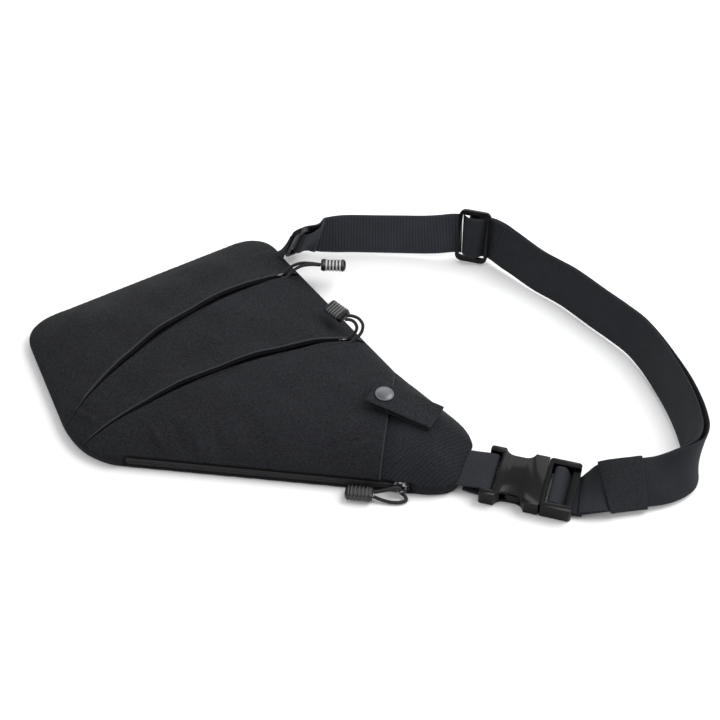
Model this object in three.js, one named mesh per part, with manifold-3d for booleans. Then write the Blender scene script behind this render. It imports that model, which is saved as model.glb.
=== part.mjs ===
// Sling bag: a flat tapered bag lying on its back, with two curved front zips, a straight side zip,
// a snap tab, and an adjustable shoulder strap that closes with a side-release buckle.
// Millimetres. +X runs along the side zip towards the buckle, +Y away from the side zip, +Z up.
// The origin is on the flat rest face under the back panel.
import * as THREE from 'three';
import { mergeVertices } from 'three/addons/utils/BufferGeometryUtils.js';
import Module from 'manifold-3d';

const wasm = await Module();
wasm.setup();

// ---------- driving dimensions ----------
const GAP = 0.3;                // clearance between pieces that touch
const WEBBING = 38;             // strap webbing width
const WEB_THICK = 1.3;          // strap webbing thickness
const EDGE_HEIGHT = 9;          // height of the front shell at its outer seam
const CROWN_RISE = 17.5;        // how far the middle of the front stands above that seam
const SHELL_THICK = 1.6;        // front fabric with its backing
const BACK_THICK = 1.8;         // back panel fabric
const FOAM_THICK = 3.8;         // padding sheet behind the pockets
const OUTLINE_STEPS = 60;       // points round the bag's outline
const TIP_SEAM_X = 141;         // seam between the lower front panel and the tip panel
const SPINE = [new THREE.Vector2(-75, 15), new THREE.Vector2(150, -62)];
const ZIP_DROP = 4.6;           // depth of a zip's tape below the fabric's surface
const TAPE_HALF = 8.6;          // half width of a front zip's tape
const COIL_HALF = 2.8;          // half width of a closed coil
const SLIDER_HALF = 4.3;        // half width of a slider
const SLIDER_LONG = 10;         // length of a slider
const SLIDER_REST = 0.965;      // share of a zip's length where its closed slider rests
const CORD_D = 2.8;             // pull cord diameter
const GRIP = { long: 22, wide: 13, thick: 7 };
const TAB_WIDTH = 26;           // snap tab webbing width
const BUCKLE = { wide: 51, high: 12, female: 47, male: 25.5 };
const TRI_GLIDE = { long: 29.4, high: 50, thick: 3.2, bar: 3.2, slot: 8.8 };

const COLOURS = {
  shell: 0x26272c, back: 0x1f2024, lining: 0x2d2e33, foam: 0x3a3b3f, tape: 0x121214, coil: 0x0e0e10,
  slider: 0x2a2a2c, cord: 0x1a1b1e, grip: 0x4a4b4e, webbing: 0x1d1f26, elastic: 0x232429,
  plastic: 0x111214, cap: 0x55575a, brass: 0x9a927c,
};
const FINISH = {
  shell: [0.95, 0], back: [0.95, 0], lining: [0.8, 0], foam: [1, 0], tape: [0.9, 0], coil: [0.5, 0],
  slider: [0.4, 0.8], cord: [0.85, 0], grip: [0.5, 0], webbing: [0.85, 0],
  elastic: [0.9, 0], plastic: [0.35, 0], cap: [0.35, 0.9], brass: [0.4, 0.9],
};

const bag = new THREE.Group();

// ---------- helpers ----------
const v3 = (x, y, z) => new THREE.Vector3(x, y, z);
const v2 = (x, y) => new THREE.Vector2(x, y);

function add(name, finish, geometry, parent = bag) {
  const [roughness, metalness] = FINISH[finish];
  const material = new THREE.MeshStandardMaterial({ color: COLOURS[finish], roughness, metalness });
  const mesh = new THREE.Mesh(geometry, material);
  mesh.name = name;
  parent.add(mesh);
  return mesh;
}

// A closed body through rings of points. Rings hold the same number of points, counter-clockwise seen
// from the last ring's side, and both ends are closed by a fan round the ring's middle.
function loft(rings) {
  const count = rings[0].length;
  const positions = [];
  const index = [];
  for (const ring of rings) for (const p of ring) positions.push(p.x, p.y, p.z);
  for (let r = 0; r + 1 < rings.length; r += 1) {
    for (let i = 0; i < count; i += 1) {
      const a = r * count + i;
      const b = r * count + ((i + 1) % count);
      index.push(a, b, b + count, a, b + count, a + count);
    }
  }
  const cap = (ring, first, flip) => {
    const middle = ring.reduce((sum, p) => sum.add(p), v3(0, 0, 0)).divideScalar(count);
    const centre = positions.length / 3;
    positions.push(middle.x, middle.y, middle.z);
    for (let i = 0; i < count; i += 1) {
      const a = first + i;
      const b = first + ((i + 1) % count);
      if (flip) index.push(centre, b, a);
      else index.push(centre, a, b);
    }
  };
  cap(rings[0], 0, true);
  cap(rings[rings.length - 1], (rings.length - 1) * count, false);
  const geometry = new THREE.BufferGeometry();
  geometry.setAttribute('position', new THREE.Float32BufferAttribute(positions, 3));
  geometry.setIndex(index);
  return geometry;
}

function toSolid(geometry) {
  const bare = geometry.clone();
  bare.deleteAttribute('normal');
  bare.deleteAttribute('uv');
  const merged = mergeVertices(bare, 1e-4);
  return new wasm.Manifold(new wasm.Mesh({
    numProp: 3,
    vertProperties: new Float32Array(merged.attributes.position.array),
    triVerts: new Uint32Array(merged.index.array),
  }));
}

function fromSolid(solid) {
  const mesh = solid.getMesh();
  const geometry = new THREE.BufferGeometry();
  geometry.setAttribute('position', new THREE.Float32BufferAttribute(mesh.vertProperties, 3));
  geometry.setIndex(Array.from(mesh.triVerts));
  return geometry;
}

function extrude(shape, depth, z = 0) {
  const geometry = new THREE.ExtrudeGeometry(shape, { depth, bevelEnabled: false, curveSegments: 4 });
  return geometry.translate(0, 0, z);
}

// A rectangle with rounded corners, centred on (x, y).
function roundedRect(x, y, long, wide, radius) {
  const shape = new THREE.Shape();
  const [l, r, b, t] = [x - long / 2, x + long / 2, y - wide / 2, y + wide / 2];
  shape.moveTo(l + radius, b);
  shape.lineTo(r - radius, b);
  shape.absarc(r - radius, b + radius, radius, -Math.PI / 2, 0);
  shape.lineTo(r, t - radius);
  shape.absarc(r - radius, t - radius, radius, 0, Math.PI / 2);
  shape.lineTo(l + radius, t);
  shape.absarc(l + radius, t - radius, radius, Math.PI / 2, Math.PI);
  shape.lineTo(l, b + radius);
  shape.absarc(l + radius, b + radius, radius, Math.PI, 1.5 * Math.PI);
  return shape;
}

// A local frame as a matrix: columns are the directions of its x, y and z, then its origin.
function frameAt(origin, x, y, z) {
  return new THREE.Matrix4().makeBasis(x, y, z).setPosition(origin);
}

// ---------- the bag's outline and its pillow shape ----------
const edge = new THREE.Path();
edge.moveTo(-66, -119);
edge.lineTo(172, -119);
edge.quadraticCurveTo(196, -119, 201, -108);
edge.lineTo(209, -68);
edge.quadraticCurveTo(206, -54, 190, -41);
edge.lineTo(140, 3);
edge.lineTo(110, 37);
edge.lineTo(22, 138);
edge.quadraticCurveTo(4, 166, -22, 149);
edge.lineTo(-152, 44);
edge.quadraticCurveTo(-184, 22, -170, -2);
edge.lineTo(-126, -76);
edge.quadraticCurveTo(-104, -117, -66, -119);
const OUTLINE = edge.getSpacedPoints(OUTLINE_STEPS).slice(0, OUTLINE_STEPS);

// The nearest point of the spine, the line that the pillow's rings shrink towards.
const FEET = OUTLINE.map((p) => {
  const along = SPINE[1].clone().sub(SPINE[0]);
  const t = THREE.MathUtils.clamp(p.clone().sub(SPINE[0]).dot(along) / along.lengthSq(), 0, 1);
  return SPINE[0].clone().addScaledVector(along, t);
});

// The outline shrunk to share s of its way out from the spine, less an inset, at height z.
function ring(s, z, inset = 0) {
  return OUTLINE.map((p, i) => {
    const out = p.clone().sub(FEET[i]);
    const share = s * (1 - inset / out.length());
    return v3(FEET[i].x + out.x * share, FEET[i].y + out.y * share, z);
  });
}

const crownHeight = (s) => EDGE_HEIGHT + CROWN_RISE * (1 - s ** 2.4) ** 0.8;
const CROWN_SHARES = [1, 0.95, 0.86, 0.72, 0.54, 0.32, 0.1];

// The pillow above height floor, inset all round and lowered by drop.
function pillow(floor, inset, drop) {
  return loft([ring(1, floor, inset), ...CROWN_SHARES.map((s) => ring(s, crownHeight(s) - drop, inset))]);
}

// A lens that fills a share of the outline: both its faces rise by the same amount to the middle.
function lens(share, low, high, rise) {
  const shares = [1, 0.6, 0.15];
  const coarse = (k, z) => ring(share * k, z).filter((_, i) => i % 2 === 0);
  const upper = shares.map((k) => coarse(k, high + rise * (1 - k * k)));
  const lower = shares.map((k) => coarse(k, low + rise * (1 - k * k))).reverse();
  return loft([...lower, ...upper]);
}

// ---------- zips ----------
// A curved zip's tape lies along the circle through three points, so its slider turns about that
// circle's axis. at(t, side, rise) is a point beside and above the tape's middle line, t from 0 to 1.
function arcZip(start, middle, end) {
  const u = middle.clone().sub(start);
  const w = end.clone().sub(start);
  const axis = u.clone().cross(w).normalize();
  const part = v3(0, 0, 0)
    .addScaledVector(u.clone().cross(w).cross(u), w.lengthSq())
    .addScaledVector(w.clone().cross(u.clone().cross(w)), u.lengthSq());
  const centre = start.clone().addScaledVector(part, 1 / (2 * u.clone().cross(w).lengthSq()));
  const radial = start.clone().sub(centre);
  const total = radial.angleTo(end.clone().sub(centre));
  const turned = (t) => radial.clone().applyAxisAngle(axis, total * t);
  const along = axis.clone().cross(turned(0.5)).normalize();
  const upMiddle = v3(0, 0, 1).addScaledVector(along, -along.z).normalize();
  const frame = (t) => {
    const tangent = axis.clone().cross(turned(t)).normalize();
    const up = upMiddle.clone().applyAxisAngle(axis, total * (t - 0.5));
    return { origin: centre.clone().add(turned(t)), tangent, up, side: up.clone().cross(tangent) };
  };
  return { frame, length: radial.length() * total, centre, axis, total };
}

function lineZip(start, end, up) {
  const tangent = end.clone().sub(start).normalize();
  const side = up.clone().cross(tangent);
  return {
    frame: (t) => ({ origin: start.clone().lerp(end, t), tangent, up, side }),
    length: start.distanceTo(end),
  };
}

const down = v3(0, 0, -ZIP_DROP);
const ZIPS = {
  upper: arcZip(v3(-106, -68, 14).add(down), v3(-30, 46.5, 22.8).add(down), v3(33, 107, 13.4).add(down)),
  middle: arcZip(v3(-87, -97, 12.6).add(down), v3(3, -24, 23.4).add(down), v3(99, 30, 14.6).add(down)),
  side: lineZip(v3(-62, -116, 6.7), v3(165, -116, 6.7), v3(0, -1, 0)),
};

// A strip that follows a zip: its section is a list of [side, rise].
function alongZip(zip, corners, from, to, steps) {
  const clockwise = THREE.ShapeUtils.area(corners.map(([x, y]) => v2(x, y))) < 0;
  const section = clockwise ? [...corners].reverse() : corners;
  const rings = [];
  for (let i = 0; i <= steps; i += 1) {
    const f = zip.frame(from + ((to - from) * i) / steps);
    rings.push(section.map(([side, rise]) => f.origin.clone()
      .addScaledVector(f.side, side).addScaledVector(f.up, rise)));
  }
  return loft(rings);
}

// The room a zip takes: its tape's slot and the wider channel that its slider runs in.
function zipRoom(zip, tapeHalf, channelTop) {
  const slit = SLIDER_HALF + 0.7;
  const section = [
    [-tapeHalf - GAP, -0.6], [-tapeHalf - GAP, 0.6], [-slit, 0.6], [-slit, channelTop],
    [slit, channelTop], [slit, 0.6], [tapeHalf + GAP, 0.6], [tapeHalf + GAP, -0.6],
    [slit, -0.6], [slit, -2.6], [-slit, -2.6], [-slit, -0.6],
  ];
  return toSolid(alongZip(zip, section, -0.02, 1.03, 26));
}

// The slider: top and bottom plates, side flanges, a thin post between the coils, and on top a bridge
// that the pull cord is threaded under.
const SLIDER_TOP = 3.6;
const CORD_RISE = SLIDER_TOP + 1.7;          // height of the cord's middle line above the tape
function sliderGeometry() {
  const section = [
    [-4.3, 0.6], [-4.3, SLIDER_TOP], [4.3, SLIDER_TOP], [4.3, 0.6], [3.2, 0.6], [3.2, 2.5],
    [0.2, 2.5], [0.2, -0.8], [3.6, -0.8], [3.6, -1.9], [-3.6, -1.9], [-3.6, -0.8],
    [-0.2, -0.8], [-0.2, 2.5], [-3.2, 2.5], [-3.2, 0.6],
  ].map(([x, y]) => v2(x, y));
  // The section's x is the side and its y the rise; it is extruded along the zip.
  const body = extrude(new THREE.Shape(section), SLIDER_LONG, -SLIDER_LONG / 2);
  body.applyMatrix4(frameAt(v3(0, 0, 0), v3(0, 1, 0), v3(0, 0, 1), v3(1, 0, 0)));
  const foot = SLIDER_TOP - 0.5;
  const inner = CORD_RISE + 1.7;
  const outer = inner + 1;
  const bridge = new THREE.Shape();
  bridge.moveTo(-4.2, foot);
  bridge.lineTo(-4.2, inner - 0.8);
  bridge.quadraticCurveTo(-4, outer, -2.4, outer);
  bridge.lineTo(2.4, outer);
  bridge.quadraticCurveTo(4, outer, 4.2, inner - 0.8);
  bridge.lineTo(4.2, foot);
  bridge.lineTo(3.1, foot);
  bridge.lineTo(3.1, inner);
  bridge.lineTo(-3.1, inner);
  bridge.lineTo(-3.1, foot);
  const arch = extrude(bridge, 1.4, -0.7);
  arch.applyMatrix4(frameAt(v3(0, 0, 0), v3(1, 0, 0), v3(0, 0, 1), v3(0, -1, 0)));
  return fromSolid(toSolid(body).add(toSolid(arch)));
}

// ---------- front panels ----------
const zipRooms = [
  zipRoom(ZIPS.upper, TAPE_HALF, 16),
  zipRoom(ZIPS.middle, TAPE_HALF, 16),
  zipRoom(ZIPS.side, 3.9, 12),
];

// A plan curve beside a front zip, run on past both ends of it.
function planCurve(zip, side) {
  const points = [];
  for (let t = -0.2; t <= 1.26; t += 0.0729) {
    const f = zip.frame(t);
    const p = f.origin.clone().addScaledVector(f.side, side);
    points.push(v2(p.x, p.y));
  }
  return points;
}

// A ribbon of webbing through stations: each edge is thickened square to its own direction of travel.
function ribbonBetween(stations, width, thick) {
  const edgeAt = ({ c, w, spread = 1 }, sign) => c.clone().addScaledVector(w, (sign * spread * width) / 2);
  const edges = [-1, 1].map((sign) => stations.map((station) => edgeAt(station, sign)));
  const last = stations.length - 1;
  return loft(stations.map(({ w }, i) => {
    const [low, high] = edges.map((points) => {
      const travel = points[Math.min(i + 1, last)].clone().sub(points[Math.max(i - 1, 0)]);
      const rise = w.clone().cross(travel).setLength(thick / 2);
      return [points[i].clone().sub(rise), points[i].clone().add(rise)];
    });
    return [low[0], low[1], high[1], high[0]];
  }));
}

// Stations of a ribbon from its middle points and width directions.
function stationsOf(centres, widths) {
  return centres.map((c, i) => ({ c, w: widths[i].clone().normalize() }));
}

// The corner webbing leaves the seam bunched to half its width and opens out on its way up to the ring.
const cornerMiddles = new THREE.CatmullRomCurve3(
  [v3(14, 140, 5.6), v3(18, 138.6, 8.5), v3(22, 137.4, 14.5), v3(25.5, 136.4, 20.5), v3(28.4, 136, 24.4)]);
const cornerAcross = new THREE.CatmullRomCurve3(
  [v3(0.6, -0.8, 0), v3(0.56, -0.76, 0.3), v3(0.46, -0.6, 0.65), v3(0.36, -0.44, 0.82),
  v3(0.29, -0.36, 0.887)]);
const CORNER_STEPS = 8;
const CORNER_WEBBING = Array.from({ length: CORNER_STEPS + 1 }, (_, i) => {
  const t = i / CORNER_STEPS;
  return { c: cornerMiddles.getPoint(t), w: cornerAcross.getPoint(t).normalize(), spread: 0.5 + 0.5 * t };
});

const BUCKLE_ANGLE = THREE.MathUtils.degToRad(-9);
const U = v3(Math.cos(BUCKLE_ANGLE), Math.sin(BUCKLE_ANGLE), 0);
const V = v3(-U.y, U.x, 0);
const BUCKLE_START = v3(221.5, -96, 0.6);
const buckleFrame = frameAt(BUCKLE_START, U, V, v3(0, 0, 1));
const inBuckle = (u, v, z) => v3(u, v, z).applyMatrix4(buckleFrame);

// The tip webbing leaves the bag's tip, goes over the buckle's bar and comes back under it.
const TIP_WEBBING = stationsOf(
  [[-24, 6.8], [-14, 7.6], [-5, 8.7], [2.6, 9.6], [6.6, 9.1], [8, 7.2], [8, 4], [6.8, 1.8], [2.6, 1.2],
    [-5, 1.6], [-14, 2.8]].map(([u, z]) => inBuckle(u, 0, z)),
  Array(11).fill(V),
);

const outerShell = toSolid(pillow(BACK_THICK + GAP, 0, 0));
let shell = outerShell.subtract(toSolid(pillow(BACK_THICK - 4, SHELL_THICK, SHELL_THICK)));
for (const room of zipRooms) shell = shell.subtract(room);
// Room for the corner webbing: its own solid, shifted a little to every side.
const SLOT_SHIFT = 0.5;
const cornerRibbon = ribbonBetween(CORNER_WEBBING, WEBBING, WEB_THICK);
const SHIFTS = [[0, 0, 0], [1, 0, 0], [-1, 0, 0], [0, 1, 0], [0, -1, 0], [0, 0, 1], [0, 0, -1]];
const cornerRoom = SHIFTS.map((shift) => {
  const [x, y, z] = shift.map((share) => share * SLOT_SHIFT);
  return toSolid(cornerRibbon.clone().translate(x, y, z));
});
for (const room of cornerRoom) shell = shell.subtract(room);
shell = shell.subtract(toSolid(ribbonBetween(TIP_WEBBING, WEBBING + 0.8, WEB_THICK + 0.8)));

// The shell's part inside a plan region; slivers that the zips' slots cut off are dropped.
function panel(points) {
  const region = toSolid(extrude(new THREE.Shape(points), 80, -10));
  const pieces = shell.intersect(region).decompose();
  pieces.sort((a, b) => b.volume() - a.volume());
  return fromSolid(pieces[0]);
}

const HALF_GAP = GAP / 2;
const FAR = 400;
const seam = TIP_SEAM_X;
add('front_upper_panel', 'shell', panel([...planCurve(ZIPS.upper, HALF_GAP), v2(FAR, FAR), v2(-FAR, FAR),
  v2(-FAR, -FAR / 2)]));
add('front_middle_panel', 'shell', panel([...planCurve(ZIPS.upper, -HALF_GAP),
  ...planCurve(ZIPS.middle, HALF_GAP).reverse()]));
add('front_lower_panel', 'shell', panel([...planCurve(ZIPS.middle, -HALF_GAP).filter((p) => p.x < seam - 2),
  v2(seam - HALF_GAP, 60), v2(seam - HALF_GAP, -FAR), v2(-FAR, -FAR)]));
add('tip_panel', 'shell', panel([v2(seam + HALF_GAP, -FAR), v2(FAR, -FAR), v2(FAR, FAR),
  v2(seam + HALF_GAP, FAR)]));

// ---------- back panel, padding and pocket linings ----------
add('back_panel', 'back', loft([ring(1, 0, 0.4), ring(1, BACK_THICK, 0.4)]));
const foamTop = BACK_THICK + GAP + FOAM_THICK;
const foam = toSolid(loft([ring(0.9, BACK_THICK + GAP), ring(0.9, foamTop)]));
add('back_foam', 'foam', fromSolid(cornerRoom.reduce((left, room) => left.subtract(room), foam)));
add('main_pocket_lining', 'lining', lens(0.82, foamTop + GAP, foamTop + 1.4, 2.6));
add('upper_pocket_lining', 'lining', lens(0.6, foamTop + 3.1, foamTop + 4, 1.6));
add('middle_pocket_lining', 'lining', lens(0.46, foamTop + 5.2, foamTop + 6.1, 1.8));

// ---------- zip tapes, coils, sliders and pulls ----------
function buildZip(name, zip, tapeHalf, steps, cord, grip) {
  for (const [half, sign] of [['left', 1], ['right', -1]]) {
    const tape = [[0.9, -0.25], [0.9, 0.25], [tapeHalf, 0.25], [tapeHalf, -0.25]];
    const coil = [[0.5, 0.55], [0.5, 2.2], [COIL_HALF, 2.2], [COIL_HALF, 0.55]];
    const sided = (section) => section.map(([s, n]) => [sign * s, n]);
    add(`${name}_zip_tape_${half}`, 'tape', alongZip(zip, sided(tape), 0, 1, steps));
    add(`${name}_zip_coil_${half}`, 'coil', alongZip(zip, sided(coil), 0.01, 0.99, steps));
  }
  const f = zip.frame(SLIDER_REST);
  const carriage = new THREE.Group();
  carriage.applyMatrix4(frameAt(f.origin, f.tangent, f.side, f.up));
  bag.add(carriage);
  add(`${name}_zip_slider`, 'slider', sliderGeometry(), carriage);
  add(`${name}_pull_cord`, 'cord', cordTube(cord));
  add(`${name}_pull_grip`, 'grip', gripGeometry(grip));
}

// A cord is a tube of eight sides along a smooth line through its points.
function cordTube(points) {
  const line = new THREE.CatmullRomCurve3(points);
  const section = new THREE.Shape();
  section.absarc(0, 0, CORD_D / 2, 0, 2 * Math.PI);
  return new THREE.ExtrudeGeometry(section, {
    steps: Math.round(line.getLength() / (1.5 * CORD_D)),
    extrudePath: line,
    curveSegments: 4,
    bevelEnabled: false,
  });
}

// A moulded cord grip: rounded at its far end, with a row of finger ribs on its top and bottom.
function gripGeometry({ mouth, along, up }) {
  const outline = [];
  const half = GRIP.thick / 2;
  const ribs = 5;
  const pitch = (GRIP.long - 8) / ribs;
  const side = (sign) => {
    const points = [[0, sign * half * 0.7], [3, sign * half * 0.8]];
    for (let i = 0; i < ribs; i += 1) {
      const x = 3.4 + i * pitch;
      points.push([x, sign * half], [x + pitch * 0.55, sign * half], [x + pitch * 0.6, sign * (half - 0.8)],
        [x + pitch * 0.95, sign * (half - 0.8)]);
    }
    return points;
  };
  outline.push(...side(-1));
  outline.push([GRIP.long - 3, -half], [GRIP.long - 0.6, -half * 0.5], [GRIP.long, 0]);
  outline.push([GRIP.long - 0.6, half * 0.5], [GRIP.long - 3, half]);
  outline.push(...side(1).reverse());
  const shape = new THREE.Shape(outline.map(([x, y]) => v2(x, y)));
  const geometry = extrude(shape, GRIP.wide, -GRIP.wide / 2);
  const x = along.clone().normalize();
  const z = up.clone().addScaledVector(x, -up.dot(x)).normalize();
  return geometry.applyMatrix4(frameAt(mouth, x, z, x.clone().cross(z)));
}

// Each pull cord leaves its grip, goes under the slider's bridge and comes back to the grip.
buildZip('upper', ZIPS.upper, TAPE_HALF, 18, [
  v3(61.7, 116.1, 21.6), v3(53, 115.2, 23), v3(44, 114, 23.2), v3(36.5, 112, 20.5), v3(31.8, 109.4, 16.8),
  v3(28.5, 107.2, 14.9), v3(27.6, 104.9, 15), v3(28.1, 103.1, 15.2), v3(29.6, 101.9, 15), v3(32.3, 102.6, 15),
  v3(35.1, 105.4, 16.8), v3(40, 108.6, 20.6), v3(46, 111, 23), v3(54, 112.6, 23.8), v3(61.7, 113.4, 23.4),
], { mouth: v3(62.1, 114.8, 22.5), along: v3(1, 0.1, -0.02), up: v3(0, 0.2, 1) });
buildZip('middle', ZIPS.middle, TAPE_HALF, 18, [
  v3(93.1, 42, 28.1), v3(97.5, 41.6, 28.6), v3(101.5, 40, 27.4), v3(103.6, 37.2, 24.2), v3(102, 34.8, 20),
  v3(98.4, 32.9, 17.1), v3(94.6, 31.3, 16), v3(93, 29.4, 16.2), v3(93.2, 27.4, 16.3), v3(94.6, 26, 16.1),
  v3(97.2, 25.9, 16), v3(100.8, 27.8, 17.1), v3(105, 30.6, 19.6), v3(108.2, 34.6, 23), v3(108.4, 38.8, 27.2),
  v3(104.5, 42.6, 29.8), v3(99, 44.6, 30.4), v3(94.4, 44.9, 29.9),
], { mouth: v3(92.6, 44.3, 28.9), along: v3(-0.74, 0.67, -0.09), up: v3(-0.1, -0.25, 1) });
buildZip('side', ZIPS.side, 3.6, 2, [
  v3(137, -125.2, 5.6), v3(143, -124.4, 7), v3(149, -123.6, 8.8), v3(153.6, -122.6, 10.2),
  v3(156.4, -121.8, 9.2),
  v3(157.3, -121.4, 6.7), v3(158.2, -122, 4.1), v3(161.4, -124, 2.5), v3(162.6, -127, 1.9),
  v3(158.5, -129.6, 1.8),
  v3(151, -130.4, 1.8), v3(144, -129.8, 2.6), v3(137, -128.4, 4.2),
], { mouth: v3(136.6, -126.8, 4.9), along: v3(-1, 0, 0), up: v3(0, 0.12, 1) });

// ---------- snap tab ----------
// A strip of webbing lies on the tip panel, folds back over itself and snaps shut at its other end.
const TAB_CAP = v3(136, -46, 28.4);
const TAB_ANGLE = THREE.MathUtils.degToRad(-20);
const TAB_SLOPE = THREE.MathUtils.degToRad(-3.2);
const tabX = v3(Math.cos(TAB_ANGLE) * Math.cos(TAB_SLOPE), Math.sin(TAB_ANGLE) * Math.cos(TAB_SLOPE),
  Math.sin(TAB_SLOPE));
const tabY = v3(-Math.sin(TAB_ANGLE), Math.cos(TAB_ANGLE), 0);
const tabFrame = frameAt(TAB_CAP, tabX, tabY, tabX.clone().cross(tabY));
const TAB_THICK = 1.1;
const tabStrip = (line) => ribbonBetween(
  stationsOf(line.map(([x, z]) => v3(x, 0, z)), Array(line.length).fill(v3(0, 1, 0))), TAB_WIDTH, TAB_THICK,
);
const disc = (profile) => new THREE.LatheGeometry(profile.map(([r, z]) => v2(r, z)), 20).rotateX(Math.PI / 2);
const tabGroup = new THREE.Group();
tabGroup.applyMatrix4(tabFrame);
bag.add(tabGroup);

const rivetHole = toSolid(disc([[0, -6], [2.3, -6], [2.3, 12], [0, 12]]));
const baseStrip = toSolid(tabStrip([
  [-7, 0.55], [20, 0.55], [41, 0.55], [45, 0.7], [46.8, 1.2], [47.3, 2], [46.8, 2.7],
]));
add('snap_tab_base', 'webbing', fromSolid(baseStrip.subtract(rivetHole)), tabGroup);
const flapStrip = toSolid(tabStrip([[-11, 4.4], [9, 4.4], [24, 3.9], [38, 3.2], [45.6, 3.1]]));
add('snap_tab_flap', 'webbing', fromSolid(flapStrip.subtract(rivetHole)), tabGroup);
add('snap_stud', 'brass', disc([[0, 1.4], [5.2, 1.4], [5.2, 1.9], [2.5, 2.1], [2.9, 3.1], [2.3, 3.5],
  [0, 3.5]]),
  tabGroup);
add('snap_post', 'brass', disc([[0, -0.8], [4.8, -0.8], [4.8, -0.3], [2, -0.3], [2, 1.1],
  [0, 1.1]]), tabGroup);
add('snap_socket', 'brass', disc([[3.4, 2.2], [6, 2.2], [6.2, 3.5], [5, 3.55], [3.4, 3.3]]
  .concat([[3.4, 2.2]])), tabGroup);
add('snap_cap', 'cap', disc([[0, 3.8], [2, 3.8], [2, 5.25], [7.2, 5.25], [7.7, 5.6], [7.5, 6.2], [6.6, 6.5],
  [3.5, 6.9], [0, 7]]), tabGroup);

// ---------- buckle ----------
const buckle = new THREE.Group();
buckle.applyMatrix4(buckleFrame);
bag.add(buckle);
const HALF_WIDE = BUCKLE.wide / 2;
const SLOT_WIDE = WEBBING + 2.4;

// The socket half: a flat sleeve with a curved thumb cut-out on each side and a bar for the webbing.
function femaleGeometry() {
  const long = BUCKLE.female;
  const shape = new THREE.Shape();
  shape.moveTo(2.5, -HALF_WIDE);
  shape.lineTo(12, -HALF_WIDE);
  shape.quadraticCurveTo(14, -HALF_WIDE + 6, 20, -HALF_WIDE + 6.2);
  shape.lineTo(28, -HALF_WIDE + 6.2);
  shape.quadraticCurveTo(34, -HALF_WIDE + 6, 36, -HALF_WIDE);
  shape.lineTo(long, -HALF_WIDE);
  shape.lineTo(long, HALF_WIDE);
  shape.lineTo(36, HALF_WIDE);
  shape.quadraticCurveTo(34, HALF_WIDE - 6, 28, HALF_WIDE - 6.2);
  shape.lineTo(20, HALF_WIDE - 6.2);
  shape.quadraticCurveTo(14, HALF_WIDE - 6, 12, HALF_WIDE);
  shape.lineTo(2.5, HALF_WIDE);
  shape.quadraticCurveTo(0, HALF_WIDE, 0, HALF_WIDE - 2.5);
  shape.lineTo(0, -HALF_WIDE + 2.5);
  shape.quadraticCurveTo(0, -HALF_WIDE, 2.5, -HALF_WIDE);
  shape.holes.push(roundedRect(7.9, 0, 4.6, SLOT_WIDE, 0.8));
  const outer = toSolid(extrude(shape, BUCKLE.high));
  const barRelief = toSolid(extrude(roundedRect(2, 0, 8, SLOT_WIDE, 0.5), 10, 8.2));
  const barUnderside = toSolid(extrude(roundedRect(2, 0, 8, SLOT_WIDE, 0.5), 10, -7.4));
  const cavity = toSolid(extrude(roundedRect(34, 0, 40, 2 * 20.6, 1), 7, 2.5));
  return fromSolid(outer.subtract(cavity).subtract(barRelief).subtract(barUnderside));
}
add('buckle_female', 'plastic', femaleGeometry(), buckle);

// The plug half: a frame with a bar for the strap and an end bar, and a centre guide.
const MALE_START = BUCKLE.female + GAP;
const MALE_END = MALE_START + BUCKLE.male;
function maleGeometry() {
  const shape = roundedRect((MALE_START + MALE_END) / 2, 0, BUCKLE.male, BUCKLE.wide, 3);
  shape.holes.push(roundedRect(MALE_START + 5.6, 0, 4.6, SLOT_WIDE, 0.8));
  shape.holes.push(roundedRect(MALE_START + 16.3, 0, 7.2, SLOT_WIDE, 0.8));
  const frameSolid = toSolid(extrude(shape, BUCKLE.high));
  const long = MALE_END - MALE_START;
  const middle = MALE_START + 3.3 + long / 2;
  const above = toSolid(extrude(roundedRect(middle, 0, long, SLOT_WIDE, 0.5), 10, 8.8));
  const below = toSolid(extrude(roundedRect(middle, 0, long, SLOT_WIDE, 0.5), 10, -5.8));
  const guide = toSolid(extrude(roundedRect(MALE_START - 12, 0, 26, 7, 1), 5.4, 3.3));
  return fromSolid(frameSolid.subtract(above).subtract(below).add(guide));
}
add('buckle_male', 'plastic', maleGeometry(), buckle);

// A sprung prong of the plug half; its shoulder fills the thumb cut-out.
function prongGeometry(sign) {
  const outline = [[-0.3, 11], [-0.3, 16.5], [-12, 18.6], [-17, 20.2], [-25, 20.2], [-31, 16], [-31.5, 13],
    [-27, 12], [-22, 15.2], [-12, 14]].map(([u, v]) => v2(MALE_START + u, sign * v));
  return extrude(new THREE.Shape(outline), 6, 3);
}
add('buckle_prong_left', 'plastic', prongGeometry(1), buckle);
add('buckle_prong_right', 'plastic', prongGeometry(-1), buckle);

add('tip_webbing', 'webbing', ribbonBetween(TIP_WEBBING, WEBBING, WEB_THICK));
add('corner_webbing', 'webbing', cornerRibbon);

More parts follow.
